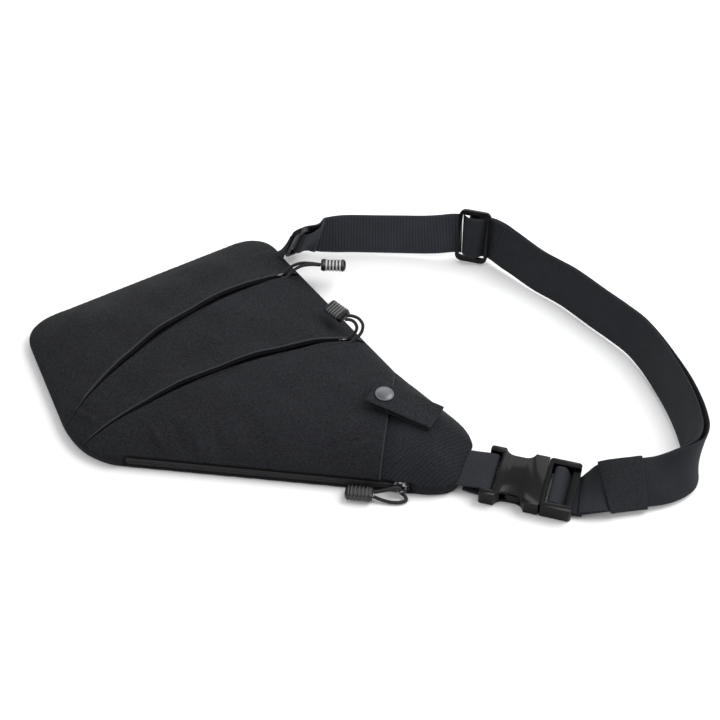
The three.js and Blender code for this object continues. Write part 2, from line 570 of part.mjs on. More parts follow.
// ---------- shoulder strap ----------
// The strap's middle surface: middles of the webbing and the direction of its upper edge at each.
const STRAP_MIDDLES = [
  v3(36.2, 140.7, 24.4), v3(43, 145.8, 24.2), v3(50, 150.8, 23), v3(58, 156.8, 21.2), v3(75, 162, 20.2),
  v3(109, 165.8, 20), v3(146, 168.2, 21.2), v3(178, 168.2, 24.9), v3(193, 166, 25.6), v3(208, 163.4, 25),
  v3(229, 153, 22), v3(253, 134, 20), v3(280, 115, 20),
  v3(305, 92, 20), v3(324, 75, 20), v3(338, 61, 20), v3(351, 41, 20), v3(363, 16, 20), v3(372, -6, 20),
  v3(379, -29, 20), v3(383, -50, 20), v3(384, -67, 20), v3(376, -83, 18.4), v3(360, -94, 16.8),
  v3(338, -101, 16.8),
  v3(316, -106, 15), v3(303, -107.4, 7.6), v3(295.4, -107.6, 2.6),
];
const STRAP_ACROSS = [
  v3(0.2, -0.42, 0.88), v3(0.2, -0.42, 0.88), v3(0.17, -0.33, 0.92), v3(0.03, 0.06, 1), v3(0, 0.22, 1),
  v3(0, 0.24, 1), v3(0.02, 0.26, 1), v3(0.045, 0.27, 1), v3(0.045, 0.27, 1), v3(0.045, 0.27, 1),
  v3(0.14, 0.29, 1), v3(0.2, 0.28, 1), v3(0.24, 0.26, 1),
  v3(0.26, 0.24, 1), v3(0.28, 0.22, 1), v3(0.31, 0.18, 1), v3(0.33, 0.13, 1), v3(0.34, 0.1, 1),
  v3(0.35, 0.07, 1),
  v3(0.34, 0.06, 1), v3(0.3, 0.08, 1), v3(0.04, 0.22, 1), v3(-0.18, 0.6, 0.9), v3(-0.22, 0.72, 0.72),
  v3(-0.14, 0.75, 0.68), v3(0.06, 0.82, 0.56), v3(0.14, 0.95, 0.2), v3(0.156, 0.988, 0.02),
];
const strapLine = new THREE.CatmullRomCurve3(STRAP_MIDDLES);
const strapAcross = new THREE.CatmullRomCurve3(STRAP_ACROSS);
strapLine.arcLengthDivisions = 400;
const STRAP_LONG = strapLine.getLength();

// A point of the strap's middle surface at a distance along it, moved out from the wearer by offset.
function strapPoint(distance, offset) {
  const t = strapLine.getUtoTmapping(0, THREE.MathUtils.clamp(distance, 0, STRAP_LONG));
  const c = strapLine.getPoint(t);
  const tangent = strapLine.getTangent(t);
  const w = strapAcross.getPoint(t);
  w.addScaledVector(tangent, -w.dot(tangent)).normalize();
  const out = w.clone().cross(tangent).negate();
  return { c: c.addScaledVector(out, offset), w, out, tangent };
}

// A layer of webbing through [distance, offset] waypoints; long stretches are split into even steps.
function strapLayer(waypoints) {
  const points = [];
  for (let i = 0; i + 1 < waypoints.length; i += 1) {
    const [d0, o0] = waypoints[i];
    const [d1, o1] = waypoints[i + 1];
    const parts = Math.max(1, Math.round(Math.abs(d1 - d0) / 13));
    for (let k = 0; k < parts; k += 1) {
      const share = k / parts;
      points.push([d0 + (d1 - d0) * share, o0 + (o1 - o0) * share]);
    }
  }
  points.push(waypoints[waypoints.length - 1]);
  const placed = points.map(([d, o]) => strapPoint(d, o));
  return ribbonBetween(stationsOf(placed.map((p) => p.c), placed.map((p) => p.w)), WEBBING, WEB_THICK);
}

function nearestDistance(point) {
  let best = 0;
  for (let d = 0; d < STRAP_LONG; d += 1) {
    if (strapPoint(d, 0).c.distanceTo(point) < strapPoint(best, 0).c.distanceTo(point)) best = d;
  }
  return best;
}

const GLIDE_AT = nearestDistance(v3(193, 166, 19.4));
const KEEPER_AT = nearestDistance(v3(329, -103, 13.5));
const BEND_AT = nearestDistance(v3(380, -40, 19));
const LAYER = 1.05;                          // offset of each layer where the strap is doubled

// Waypoints are [distance, offset]; negative offsets face the wearer. The strap passes in front of the
// tri-glide's outer bars and behind its middle bar, which the sewn end is folded round.
const fromGlide = (waypoints) => waypoints.map(([d, offset]) => [GLIDE_AT + d, offset]);
add('strap_single', 'webbing', strapLayer([
  [23, 1.4], [14, 2.9], [8.5, 3.9], [3.4, 3.7], [1.7, 1.6], [1.7, -1.6], [3.4, -3.7], [8.5, -3.9],
  [16, -2.2], [30, 0],
  ...fromGlide([[-32, 0], [-17, -2.7], [-11.8, -2.75], [-10.9, -2.7]]),
]));
add('strap_outer_layer', 'webbing', strapLayer([
  ...fromGlide([[-9.7, -1.9], [-5.8, 2.8], [-3.8, 4.35], [3.8, 4.35], [5.8, 2.8], [9.9, -2.1], [11.8, -2.75],
    [17, -2.7], [34, LAYER]]), [STRAP_LONG - 16, 1.2], [STRAP_LONG - 4.2, 1],
]));
add('strap_sewn_end', 'webbing', strapLayer(fromGlide([
  [23, -3.1], [17, -4.4], [11.6, -4.5], [8.6, -3.3], [4.5, 1.8], [2.6, 2.7], [-2.4, 2.75], [-4.1, 1.7],
  [-4.1, -1.7],
  [-2.4, -2.75], [3, -3], [8, -5.1], [11.6, -6.2], [17, -6.1], [26, -4.6], [30, -3.4],
])));
add('strap_inner_layer', 'webbing', strapLayer([
  [GLIDE_AT + 31, -3.2], [GLIDE_AT + 46, -LAYER], [BEND_AT - 90, -LAYER], [BEND_AT - 30, -4.2],
  [BEND_AT + 15, -4.4],
  [BEND_AT + 50, -LAYER], [STRAP_LONG - 16, -1.2], [STRAP_LONG - 4.2, -1],
]));

// The strap's turn round the buckle's middle bar: in under the bars, up, over and down again.
const TURN = stationsOf(
  [[25.5 + 2.4, 0.9], [16, 1.1], [9, 2], [6.2, 4.2], [5.9, 8.4], [7.6, 10.5], [12, 10.7], [14.9, 8.6],
  [16.4, 5.6],
    [18.6, 3.3], [22.5, 3], [25.5 + 2.4, 2.8]].map(([u, z]) => inBuckle(MALE_START + u, 0, z)),
  Array(12).fill(V),
);
add('strap_turn', 'webbing', ribbonBetween(TURN, WEBBING, WEB_THICK));

// ---------- strap hardware ----------
const glide = strapPoint(GLIDE_AT, 0);
const glideShape = roundedRect(0, 0, TRI_GLIDE.long, TRI_GLIDE.high, 6);
for (const sign of [-1, 1]) {
  const x = sign * (TRI_GLIDE.long / 2 - TRI_GLIDE.bar - TRI_GLIDE.slot / 2);
  glideShape.holes.push(roundedRect(x, 0, TRI_GLIDE.slot, SLOT_WIDE, 1.5));
}
const glideGeometry = extrude(glideShape, TRI_GLIDE.thick, -TRI_GLIDE.thick / 2);
glideGeometry.applyMatrix4(frameAt(glide.c, glide.tangent, glide.w,
  glide.tangent.clone().cross(glide.w)));
add('tri_glide', 'plastic', glideGeometry);

// The corner ring stands almost on its end between the bag's corner webbing and the strap.
const RING = { long: 50, wide: 15, thick: 4.2, slotLong: 41, slotWide: 6.8 };
const ringShape = roundedRect(0, 0, RING.wide, RING.long, 6);
ringShape.holes.push(roundedRect(0, 0, RING.slotWide, RING.slotLong, 2));
const ringSeat = strapPoint(0, 0);
const ringGeometry = extrude(ringShape, RING.thick, -RING.thick / 2);
const ringFace = ringSeat.tangent.clone().cross(ringSeat.w);
ringGeometry.applyMatrix4(frameAt(ringSeat.c, ringSeat.tangent, ringSeat.w, ringFace));
add('corner_ring', 'plastic', ringGeometry);

// An elastic band holds both strap layers together near the buckle.
const keeperHalf = 15;
const keeperRings = (grow) => [-1, -0.5, 0, 0.5, 1].map((k) => {
  const { c, w, out } = strapPoint(KEEPER_AT + k * keeperHalf * (grow > 1.2 ? 1 : 1.1), 0);
  const half = w.clone().setLength(WEBBING / 2 + grow);
  const rise = out.clone().setLength(LAYER + WEB_THICK / 2 + grow);
  return [c.clone().sub(half).add(rise), c.clone().sub(half).sub(rise),
    c.clone().add(half).sub(rise), c.clone().add(half).add(rise)];
});
const bandOuter = toSolid(loft(keeperRings(1.9)));
const bandInner = toSolid(loft(keeperRings(0.8)));
add('keeper_band', 'elastic', fromSolid(bandOuter.subtract(bandInner)));

export default bag;
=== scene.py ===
import math

import bpy
import bmesh
import numpy as np
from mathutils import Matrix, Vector


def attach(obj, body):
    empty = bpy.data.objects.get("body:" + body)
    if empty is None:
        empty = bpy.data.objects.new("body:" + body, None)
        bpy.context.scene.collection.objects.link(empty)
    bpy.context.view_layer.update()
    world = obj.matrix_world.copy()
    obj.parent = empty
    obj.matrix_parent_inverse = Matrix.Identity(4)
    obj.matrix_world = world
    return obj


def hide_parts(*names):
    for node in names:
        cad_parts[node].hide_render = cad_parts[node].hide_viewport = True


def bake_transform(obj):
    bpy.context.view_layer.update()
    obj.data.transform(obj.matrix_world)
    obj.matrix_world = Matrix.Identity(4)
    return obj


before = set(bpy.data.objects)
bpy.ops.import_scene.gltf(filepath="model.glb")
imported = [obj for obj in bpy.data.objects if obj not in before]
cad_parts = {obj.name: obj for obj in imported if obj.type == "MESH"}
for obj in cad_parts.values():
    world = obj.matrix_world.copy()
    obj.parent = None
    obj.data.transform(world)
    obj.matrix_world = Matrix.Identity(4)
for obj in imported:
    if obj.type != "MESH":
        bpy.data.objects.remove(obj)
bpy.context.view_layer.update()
# Shapes are worked out in millimetres and finishes in metres; this turns the first into the second.
mm = 0.001
up = np.array([0.0, 0.0, 1.0])

# Camera, light and table.
cameraSettings = dict(place=(0.220, -0.889, 0.919), target=(0.108, 0.0233, 0.0), lens=76.5)
stageSettings = dict(lampTarget=(0.1, 0.0, 0.0), worldStrength=0.6, white=(1.0, 1.0, 1.0, 1.0))
lightSettings = dict(
    key=dict(place=(1.15, 0.5, 1.3), size=1.3, power=30.0),
    fill=dict(place=(-0.75, -0.75, 1.3), size=1.6, power=7.0),
    rim=dict(place=(-0.1, 1.35, 0.75), size=1.1, power=9.0),
)


def lookAt(thing, target):
    # turns a camera or lamp so that it faces the target
    direction = Vector(target) - thing.location
    thing.rotation_euler = direction.to_track_quat("-Z", "Y").to_euler()


def makeStage():
    # one camera, three square lamps that face the bag, and an even white surround
    cameraData = bpy.data.cameras.new("camera")
    cameraData.lens = cameraSettings["lens"]
    camera = bpy.data.objects.new("camera", cameraData)
    camera.location = cameraSettings["place"]
    bpy.context.collection.objects.link(camera)
    lookAt(camera, cameraSettings["target"])
    bpy.context.scene.camera = camera
    for name, lamp in lightSettings.items():
        data = bpy.data.lights.new(name, "AREA")
        data.size = lamp["size"]
        data.energy = lamp["power"]
        thing = bpy.data.objects.new(name, data)
        thing.location = lamp["place"]
        bpy.context.collection.objects.link(thing)
        lookAt(thing, stageSettings["lampTarget"])
    world = bpy.data.worlds.new("studio")
    world.use_nodes = True
    background = world.node_tree.nodes["Background"]
    background.inputs["Color"].default_value = stageSettings["white"]
    background.inputs["Strength"].default_value = stageSettings["worldStrength"]
    bpy.context.scene.world = world
    bpy.context.scene.view_settings.view_transform = "Standard"


makeStage()
print("stage ready")


# Shader helper.
class Reading:
    # a socket that can be used in sums: every operator adds one Math node
    def __init__(self, paint, socket):
        self.paint = paint
        self.socket = socket

    def __add__(self, other):
        return self.paint.sum("ADD", self, other)

    def __mul__(self, other):
        return self.paint.sum("MULTIPLY", self, other)

    def __sub__(self, other):
        return self.paint.sum("SUBTRACT", self, other)

    def __rsub__(self, other):
        return self.paint.sum("SUBTRACT", other, self)

    def __abs__(self):
        return self.paint.sum("ABSOLUTE", self)

    __radd__ = __add__
    __rmul__ = __mul__


class Paint:
    # one material and the few ways this bag's finishes are put together
    def __init__(self, name, roughness=0.8, metallic=0.0, coat=0.0, sheen=0.0, gloss=0.5):
        self.material = bpy.data.materials.new(name)
        self.material.use_nodes = True
        self.tree = self.material.node_tree
        self.shader = self.tree.nodes["Principled BSDF"]
        self.shader.inputs["Roughness"].default_value = roughness
        self.shader.inputs["Metallic"].default_value = metallic
        self.shader.inputs["Specular IOR Level"].default_value = gloss
        self.shader.inputs["Coat Weight"].default_value = coat
        self.shader.inputs["Coat Roughness"].default_value = 0.1
        self.shader.inputs["Sheen Weight"].default_value = sheen
        self.shader.inputs["Sheen Roughness"].default_value = 0.45
        self.place = self.node("ShaderNodeTexCoord", output="Object")

    def node(self, kind, settings=None, inputs=None, output=0):
        # one new node: its settings, its inputs as values or readings, and the output that is read
        made = self.tree.nodes.new(kind)
        for name, value in (settings or {}).items():
            setattr(made, name, value)
        for name, value in (inputs or {}).items():
            self.feed(value, made.inputs[name])
        return Reading(self, made.outputs[output])

    def feed(self, value, socket):
        # a reading is linked to the socket, and a plain value becomes its default
        if isinstance(value, Reading):
            self.tree.links.new(value.socket, socket)
        else:
            socket.default_value = value

    def sum(self, operation, *values):
        # one Math node over the values
        return self.node("ShaderNodeMath", {"operation": operation}, dict(enumerate(values)))

    def wave(self, value, pitch):
        # a sine that repeats each pitch
        return self.sum("SINE", value * (2 * math.pi / pitch))

    def clip(self, value, low, high):
        # 0 below low, 1 above high, straight between
        inputs = {"Value": value, "From Min": low, "From Max": high}
        return self.node("ShaderNodeMapRange", {}, inputs)

    def parts(self, vector):
        # the three numbers of a vector
        split = self.node("ShaderNodeSeparateXYZ", {}, {0: vector})
        outputs = split.socket.node.outputs
        return [Reading(self, outputs[index]) for index in range(3)]

    def noise(self, size, detail=3.0, rough=0.55, vector=None):
        # cloudy values near 0.5 whose features are about size metres wide
        vector = vector or self.place
        inputs = {"Vector": vector, "Scale": 1 / size, "Detail": detail, "Roughness": rough}
        return self.node("ShaderNodeTexNoise", {}, inputs)

    def attribute(self, name, output="Vector"):
        # what the mesh carries under this name
        return self.node("ShaderNodeAttribute", {"attribute_name": name}, output=output)

    def mixColour(self, factor, first, second):
        # first colour at factor 0, second at factor 1
        made = self.tree.nodes.new("ShaderNodeMix")
        made.data_type = "RGBA"
        self.feed(factor, made.inputs[0])
        self.feed(first, made.inputs[6])
        self.feed(second, made.inputs[7])
        return Reading(self, made.outputs[2])

    def colour(self, value):
        # the finish's own colour
        self.feed(value, self.shader.inputs["Base Color"])

    def relief(self, height, distance):
        # height from 0 to 1 stands for distance metres
        made = self.node("ShaderNodeBump", {}, {"Height": height, "Distance": distance, "Strength": 1.0})
        self.feed(made, self.shader.inputs["Normal"])


def tint(red, green, blue):
    # an opaque colour
    return (red, green, blue, 1.0)


# Finishes.
def weaveOf(paint, alongX, alongY, pitch):
    # plain weave: each cell shows the hump of the thread that is on top there
    warp = paint.wave(alongX, 2 * pitch)
    weft = paint.wave(alongY, 2 * pitch)
    over = paint.clip(warp * weft, -0.12, 0.12)
    return abs(warp) * over + abs(weft) * (1 - over)


clothSettings = dict(slub=0.8 * mm, slubStretch=0.4, cloud=60 * mm, twillPitch=5.6 * mm, relief=0.16 * mm)
# paler tint for folded lips and the tip seam: a painted highlight along with some wear
foldHighlightAndWear = tint(0.05, 0.052, 0.06)


def shellCloth(name, dark, light, pitch=0.85 * mm, twill=False):
    # charcoal cloth: woven cells, paler slubs in both directions, faint cloudy wear, and folds painted paler
    # as a painted highlight along with wear
    paint = Paint(name, roughness=0.86, sheen=0.02, gloss=0.12)
    x, y, z = paint.parts(paint.place)
    if twill:
        alongX, alongY = x * 0.8 + y * 0.6, y * 0.8 - x * 0.6
    else:
        alongX, alongY = x * 0.819 + y * 0.574, y * 0.819 - x * 0.574 + z * 0.7
    weave = weaveOf(paint, alongX, alongY, pitch)
    stretch = clothSettings["slubStretch"]
    slubs = []
    for stretched in ((alongX * stretch, alongY), (alongX, alongY * stretch)):
        combine = paint.node("ShaderNodeCombineXYZ", {}, {0: stretched[0], 1: stretched[1], 2: z})
        slubs.append(paint.noise(clothSettings["slub"], 2.0, 0.6, combine))
    heather = paint.clip(slubs[0] * 0.5 + slubs[1] * 0.5, 0.4, 0.64)
    cloud = paint.clip(paint.noise(clothSettings["cloud"], 2.0), 0.3, 0.7)
    tone = heather * 0.66 + weave * 0.2 + cloud * 0.1
    height = weave * 0.7 + heather * 0.3
    if twill:
        ridges = abs(paint.wave((x - y) * 0.707, clothSettings["twillPitch"]))
        tone = tone * 0.72 + ridges * 0.28
        height = height * 0.5 + ridges * 0.5
    cloth = paint.mixColour(tone, dark, light)
    # folded lips and the seam are mixed toward the paler tint by the mesh's "edge" reading: painted highlight
    # with wear
    paint.colour(paint.mixColour(paint.attribute("edge", "Fac") * 0.55, cloth, foldHighlightAndWear))
    paint.relief(height, clothSettings["relief"])
    paint.feed(0.93 - heather * 0.12, paint.shader.inputs["Roughness"])
    return paint.material


def webbingCloth(name, dark, light, ribPitch=2.8 * mm, ribShare=0.65):
    # webbing reads (distance, across, side): ribs across it, fine rows along it, firmer edges
    paint = Paint(name, roughness=0.8, sheen=0.02, gloss=0.2)
    along, across, _ = paint.parts(paint.attribute("cloth"))
    rib = abs(paint.wave(along, 2 * ribPitch))
    row = abs(paint.wave(across, 2.2 * mm))
    picks = abs(paint.wave(along * 0.8 + across * 0.6, 3.2 * mm))
    selvedge = paint.clip(abs(across), 16.6 * mm, 17.6 * mm)
    fuzz = paint.noise(0.9 * mm, 3.0)
    wearAndSheen = paint.clip(paint.noise(18 * mm, 3.0), 0.3, 0.72)
    body = rib * ribShare + row * (0.75 - ribShare) + picks * 0.25
    height = body * (1 - selvedge * 0.5) + selvedge * 0.3 * row
    tone = height * 0.6 + fuzz * 0.34 + wearAndSheen * 0.2 + selvedge * 0.25
    paint.colour(paint.mixColour(tone, dark, light))
    paint.relief(height, 0.4 * mm)
    paint.feed(0.9 - height * 0.16, paint.shader.inputs["Roughness"])
    return paint.material


def mouldedPlastic(name, colour, roughness=0.34, grain=0.25 * mm, gloss=0.35, coat=0.0):
    # satin moulding: fine spark-eroded grain, soft sink marks and handling scuffs
    paint = Paint(name, roughness=roughness, gloss=gloss, coat=coat)
    grainNoise = paint.noise(grain, 2.0)
    sink = paint.noise(9 * mm, 1.0)
    scuff = paint.clip(paint.noise(3.5 * mm, 5.0, 0.7), 0.55, 0.75)
    paler = tuple(channel * 1.9 for channel in colour[:3]) + (1.0,)
    paint.colour(paint.mixColour(scuff * 0.4, colour, paler))
    paint.feed(roughness + scuff * 0.16 + grainNoise * 0.08, paint.shader.inputs["Roughness"])
    paint.relief(grainNoise * 0.3 + sink * 0.7, 0.06 * mm)
    return paint.material


def platedMetal(name, dark, bright, roughness=0.3, metallic=0.9):
    # plated metal: brushed haze and small rubbed spots that shine
    paint = Paint(name, roughness=roughness, metallic=metallic, coat=0.1)
    rubbedAndSheen = paint.clip(paint.noise(2.2 * mm, 4.0, 0.65), 0.5, 0.68)
    haze = paint.noise(0.3 * mm, 2.0)
    paint.colour(paint.mixColour(rubbedAndSheen, dark, bright))
    paint.feed(roughness + haze * 0.2 - rubbedAndSheen * 0.1, paint.shader.inputs["Roughness"])
    paint.relief(haze, 0.02 * mm)
    return paint.material


def braid(name, dark, light):
    # cord reads (distance, turn): two sets of strands that cross on the slant
    paint = Paint(name, roughness=0.7, sheen=0.03, gloss=0.3)
    along, turn, _ = paint.parts(paint.attribute("cloth"))
    first = abs(paint.wave(along + turn * 2.4 * mm, 2.4 * mm))
    second = abs(paint.wave(along - turn * 2.4 * mm, 2.4 * mm))
    height = paint.sum("MAXIMUM", first, second)
    fuzz = paint.noise(0.5 * mm)
    paint.colour(paint.mixColour(height * 0.6 + fuzz * 0.3, dark, light))
    paint.relief(height, 0.25 * mm)
    return paint.material


def ribbedGrip(name, body, rib):
    # soft moulding reads (distance, rib, painted sheen): raised ribs are painted paler as a painted
    # highlight, as strongly as the third reading says
    paint = Paint(name, roughness=0.3, gloss=0.45)
    _, raised, wearAndSheen = paint.parts(paint.attribute("cloth"))
    speck = paint.noise(0.5 * mm, 3.0)
    # painted highlight on the raised ribs, strongest on the grip that faces the lamps
    rubbedAndSheen = paint.clip(raised * (1 / mm), 0.35, 0.8) * wearAndSheen * (1 / mm) * (0.7 + speck * 0.6)
    paint.colour(paint.mixColour(rubbedAndSheen, body, rib))
    paint.relief(speck, 0.05 * mm)
    paint.feed(0.26 + speck * 0.16, paint.shader.inputs["Roughness"])
    return paint.material


def softSheet(name, dark, light, size):
    # hidden padding and lining: fine cells with a little colour drift
    paint = Paint(name, roughness=0.92)
    cells = paint.noise(size, 3.0)
    paint.colour(paint.mixColour(cells, dark, light))
    paint.relief(cells, 0.2 * mm)
    return paint.material


finish = dict(
    shell=shellCloth("charcoal cloth", tint(0.0028, 0.003, 0.0037), tint(0.021, 0.022, 0.0265)),
    tip=shellCloth("charcoal twill", tint(0.0026, 0.0028, 0.0034), tint(0.021, 0.022, 0.0265), twill=True),
    back=shellCloth("back cloth", tint(0.003, 0.003, 0.0036), tint(0.019, 0.02, 0.0235), pitch=1.0 * mm),
    webbing=webbingCloth("ribbed webbing", tint(0.003, 0.0034, 0.0044), tint(0.033, 0.037, 0.047)),
    webbingFine=webbingCloth("fine webbing", tint(0.0014, 0.0015, 0.002), tint(0.021, 0.0225, 0.028),
                             1.6 * mm, 0.45),
    elastic=shellCloth("knitted elastic", tint(0.011, 0.0115, 0.0133), tint(0.028, 0.0295, 0.034), 0.7 * mm),
    tab=shellCloth("folded tab", tint(0.004, 0.0041, 0.0048), tint(0.026, 0.0275, 0.032), 0.8 * mm),
    tape=webbingCloth("zip tape", tint(0.0006, 0.0006, 0.0008), tint(0.003, 0.003, 0.0037), 0.6 * mm, 0.4),
    thread=mouldedPlastic("thread", tint(0.035, 0.037, 0.042), 0.6, 0.2 * mm, 0.2),
    plastic=mouldedPlastic("black moulding", tint(0.0016, 0.0016, 0.0019), 0.34, 0.25 * mm, 0.06, 0.22),
    coil=mouldedPlastic("nylon coil", tint(0.028, 0.028, 0.031), 0.3, 0.3 * mm, 0.4),
    # the grips' pale second tint is the painted highlight on their ribs
    grip=ribbedGrip("ribbed grip", tint(0.004, 0.004, 0.0045), tint(0.42, 0.425, 0.44)),
    cord=braid("braided cord", tint(0.002, 0.002, 0.0026), tint(0.019, 0.02, 0.024)),
    slider=platedMetal("dark enamel", tint(0.02, 0.02, 0.022), tint(0.4, 0.4, 0.42), 0.28),
    cap=platedMetal("gunmetal", tint(0.105, 0.108, 0.116), tint(0.12, 0.123, 0.132), 0.34, 0.85),
    brass=platedMetal("nickelled brass", tint(0.3, 0.27, 0.2), tint(0.5, 0.47, 0.38), 0.34),
    foam=softSheet("padding", tint(0.04, 0.04, 0.045), tint(0.07, 0.07, 0.075), 1.2 * mm),
    lining=softSheet("lining", tint(0.03, 0.031, 0.037), tint(0.055, 0.057, 0.065), 0.8 * mm),
)
print("finishes ready")


# Mesh helpers.
def unit(vectors):
    # each row divided by its own length
    return vectors / np.maximum(np.linalg.norm(vectors, axis=-1, keepdims=True), 1e-12)


def ease(value):
    # 0 to 1 with a smooth start and end
    value = np.clip(value, 0, 1)
    return value * value * (3 - 2 * value)


def smoothLine(points, count):
    # curve through the points, its tangents weighted by the square root of each gap
    points = np.asarray(points, float)
    padded = np.vstack([2 * points[0] - points[1], points, 2 * points[-1] - points[-2]])
    place = np.linspace(0, 1, count) * (len(points) - 1)
    piece = np.minimum(place.astype(int), len(points) - 2)
    t = (place - piece)[:, None]
    a, b, c, d = (padded[piece + shift] for shift in range(4))
    gap = [np.sqrt(np.linalg.norm(q - p, axis=1))[:, None] for p, q in ((a, b), (b, c), (c, d))]
    gap = [np.maximum(value, 1e-9) for value in gap]
    start = ((b - a) / gap[0] - (c - a) / (gap[0] + gap[1]) + (c - b) / gap[1]) * gap[1]
    end = ((c - b) / gap[1] - (d - b) / (gap[1] + gap[2]) + (d - c) / gap[2]) * gap[1]
    return b + start * t + (3 * (c - b) - 2 * start - end) * t**2 + (2 * (b - c) + start + end) * t**3


def stepsAlong(line):
    # distance along the line at each of its points
    return np.r_[0, np.cumsum(np.linalg.norm(np.diff(line, axis=0), axis=1))]


def readTable(wanted, steps, table):
    # every column of the table, read between its rows at the wanted steps
    return np.stack([np.interp(wanted, steps, column) for column in table.T], 1)


def evenly(line, count):
    # the line's points again, an equal distance apart
    steps = stepsAlong(line)
    return readTable(np.linspace(0, steps[-1], count), steps, line)


def lengthOf(line):
    # the gaps between neighbouring points, added up
    return float(np.linalg.norm(np.diff(line, axis=0), axis=1).sum())


def gridMesh(name, grid, wrapU=False, wrapV=False, capped=False, cloth=None):
    # quads over a grid of points in millimetres; capped closes both ends with a fan
    rows, columns = grid.shape[:2]
    number = np.arange(rows * columns).reshape(rows, columns)
    if wrapU:
        number = np.vstack([number, number[:1]])
    if wrapV:
        number = np.hstack([number, number[:, :1]])
    corners = [number[:-1, :-1], number[1:, :-1], number[1:, 1:], number[:-1, 1:]]
    faces = np.stack([corner.ravel() for corner in corners], 1).tolist()
    points = grid.reshape(-1, 3)
    if cloth is not None:
        cloth = cloth.reshape(-1, 3)
    if capped:
        for row, order in ((0, (0, 1, 2)), (-1, (0, 2, 1))):
            ring = number[row]
            fan = np.stack([np.full(len(ring) - 1, len(points)), ring[:-1], ring[1:]], 1)
            faces += fan[:, order].tolist()
            points = np.vstack([points, grid[row].mean(0)])
            if cloth is not None:
                cloth = np.vstack([cloth, cloth[ring[:-1]].mean(0)])
    mesh = bpy.data.meshes.new(name)
    mesh.from_pydata((points * mm).tolist(), [], faces)
    if cloth is not None:
        attribute = mesh.attributes.new("cloth", "FLOAT_VECTOR", "POINT")
        attribute.data.foreach_set("vector", (cloth * mm).astype(np.float32).ravel())
    return outward(mesh)


def clothReadings(shape, *values):
    # up to three readings for each point of a grid, each one a value that spreads over the grid
    readings = np.zeros((*shape[:2], 3))
    for index, value in enumerate(values):
        readings[..., index] = value
    return readings


def circles(line, first, second, radius, sides):
    # a ring of points round each point of the line, in the plane of its two directions
    turn = np.linspace(0, 2 * math.pi, sides, endpoint=False)
    ring = first[:, None] * np.cos(turn)[None, :, None] + second[:, None] * np.sin(turn)[None, :, None]
    return line[:, None] + radius * ring


def roundedBlock(turn, power, halfWide, halfHigh):
    # a superellipse: cosine and sine raised to a power below one, with their signs kept
    halves = ((np.cos(turn), halfWide), (np.sin(turn), halfHigh))
    return [np.sign(wave) * np.abs(wave) ** power * half for wave, half in halves]


def outward(mesh):
    # normals made consistent and pointing out, all faces smooth
    work = bmesh.new()
    work.from_mesh(mesh)
    bmesh.ops.recalc_face_normals(work, faces=work.faces)
    work.to_mesh(mesh)
    work.free()
    mesh.polygons.foreach_set("use_smooth", np.ones(len(mesh.polygons), bool))
    return mesh


def joined(meshes):
    # several meshes as one
    work = bmesh.new()
    for mesh in meshes:
        work.from_mesh(mesh)
    mesh = bpy.data.meshes.new(meshes[0].name)
    work.to_mesh(mesh)
    work.free()
    for used in meshes:
        bpy.data.meshes.remove(used)
    return mesh


def piece(name, mesh, finishName, body, *nodes):
    # one finished piece on its body, standing for its CAD nodes
    thing = bpy.data.objects.new(name, mesh)
    bpy.context.collection.objects.link(thing)
    thing.data.materials.clear()
    thing.data.materials.append(finish[finishName])
    if body:
        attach(thing, body)
    if nodes:
        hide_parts(*nodes)
    return thing


def softened(node, finishName, body, bevel=0.5, smoothAngle=35):
    # a CAD node's own shape with its doubles merged, flat faces joined and edges rounded
    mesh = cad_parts[node].data.copy()
    work = bmesh.new()
    work.from_mesh(mesh)
    bmesh.ops.remove_doubles(work, verts=work.verts, dist=0.01 * mm)
    bmesh.ops.dissolve_limit(work, angle_limit=math.radians(1.0), verts=work.verts, edges=work.edges)
    bmesh.ops.recalc_face_normals(work, faces=work.faces)
    work.to_mesh(mesh)
    work.free()
    mesh.materials.clear()
    made = piece(f"{node}_finished", mesh, finishName, body, node)
    rounding = made.modifiers.new("rounding", "BEVEL")
    rounding.width = bevel * mm
    rounding.segments = 3
    rounding.limit_method = "ANGLE"
    rounding.angle_limit = math.radians(smoothAngle)
    rounding.harden_normals = True
    mesh.polygons.foreach_set("use_smooth", np.ones(len(mesh.polygons), bool))
    return made


# The bag's outline and pillow.
bagShape = dict(
    edgeHeight=9.0, crownRise=17.5, crownFlat=2.4, crownSteep=0.8,
    foot=(-75.0, 15.0), head=(150.0, -62.0), seamX=141.0,
    corners=[
        ("line", (-66, -119), (172, -119)), ("bend", (172, -119), (196, -119), (201, -108)),
        ("line", (201, -108), (209, -68)), ("bend", (209, -68), (206, -54), (190, -41)),
        ("line", (190, -41), (140, 3)), ("line", (140, 3), (110, 37)), ("line", (110, 37), (22, 138)),
        ("bend", (22, 138), (4, 166), (-22, 149)), ("line", (-22, 149), (-152, 44)),
        ("bend", (-152, 44), (-184, 22), (-170, -2)), ("line", (-170, -2), (-126, -76)),
        ("bend", (-126, -76), (-104, -117), (-66, -119)),
    ],
)


def outlinePoints(count):
    # lines and quadratic bends end to end, read again at equal distances
    stretches = []
    for kind, *points in bagShape["corners"]:
        t = np.linspace(0, 1, 60)[:-1, None]
        points = [np.array(point, float) for point in points]
        if kind == "line":
            stretches.append(points[0] * (1 - t) + points[1] * t)
        else:
            stretches.append(points[0] * (1 - t) ** 2 + 2 * points[1] * t * (1 - t) + points[2] * t**2)
    closed = np.vstack(stretches + [stretches[0][:1]])
    return evenly(closed, count + 1)[:-1]


outline = outlinePoints(1440)
spineStart = np.array(bagShape["foot"])
spineAlong = np.array(bagShape["head"]) - spineStart
spineUnit = spineAlong / np.linalg.norm(spineAlong)
spineSide = np.array([-spineUnit[1], spineUnit[0]])


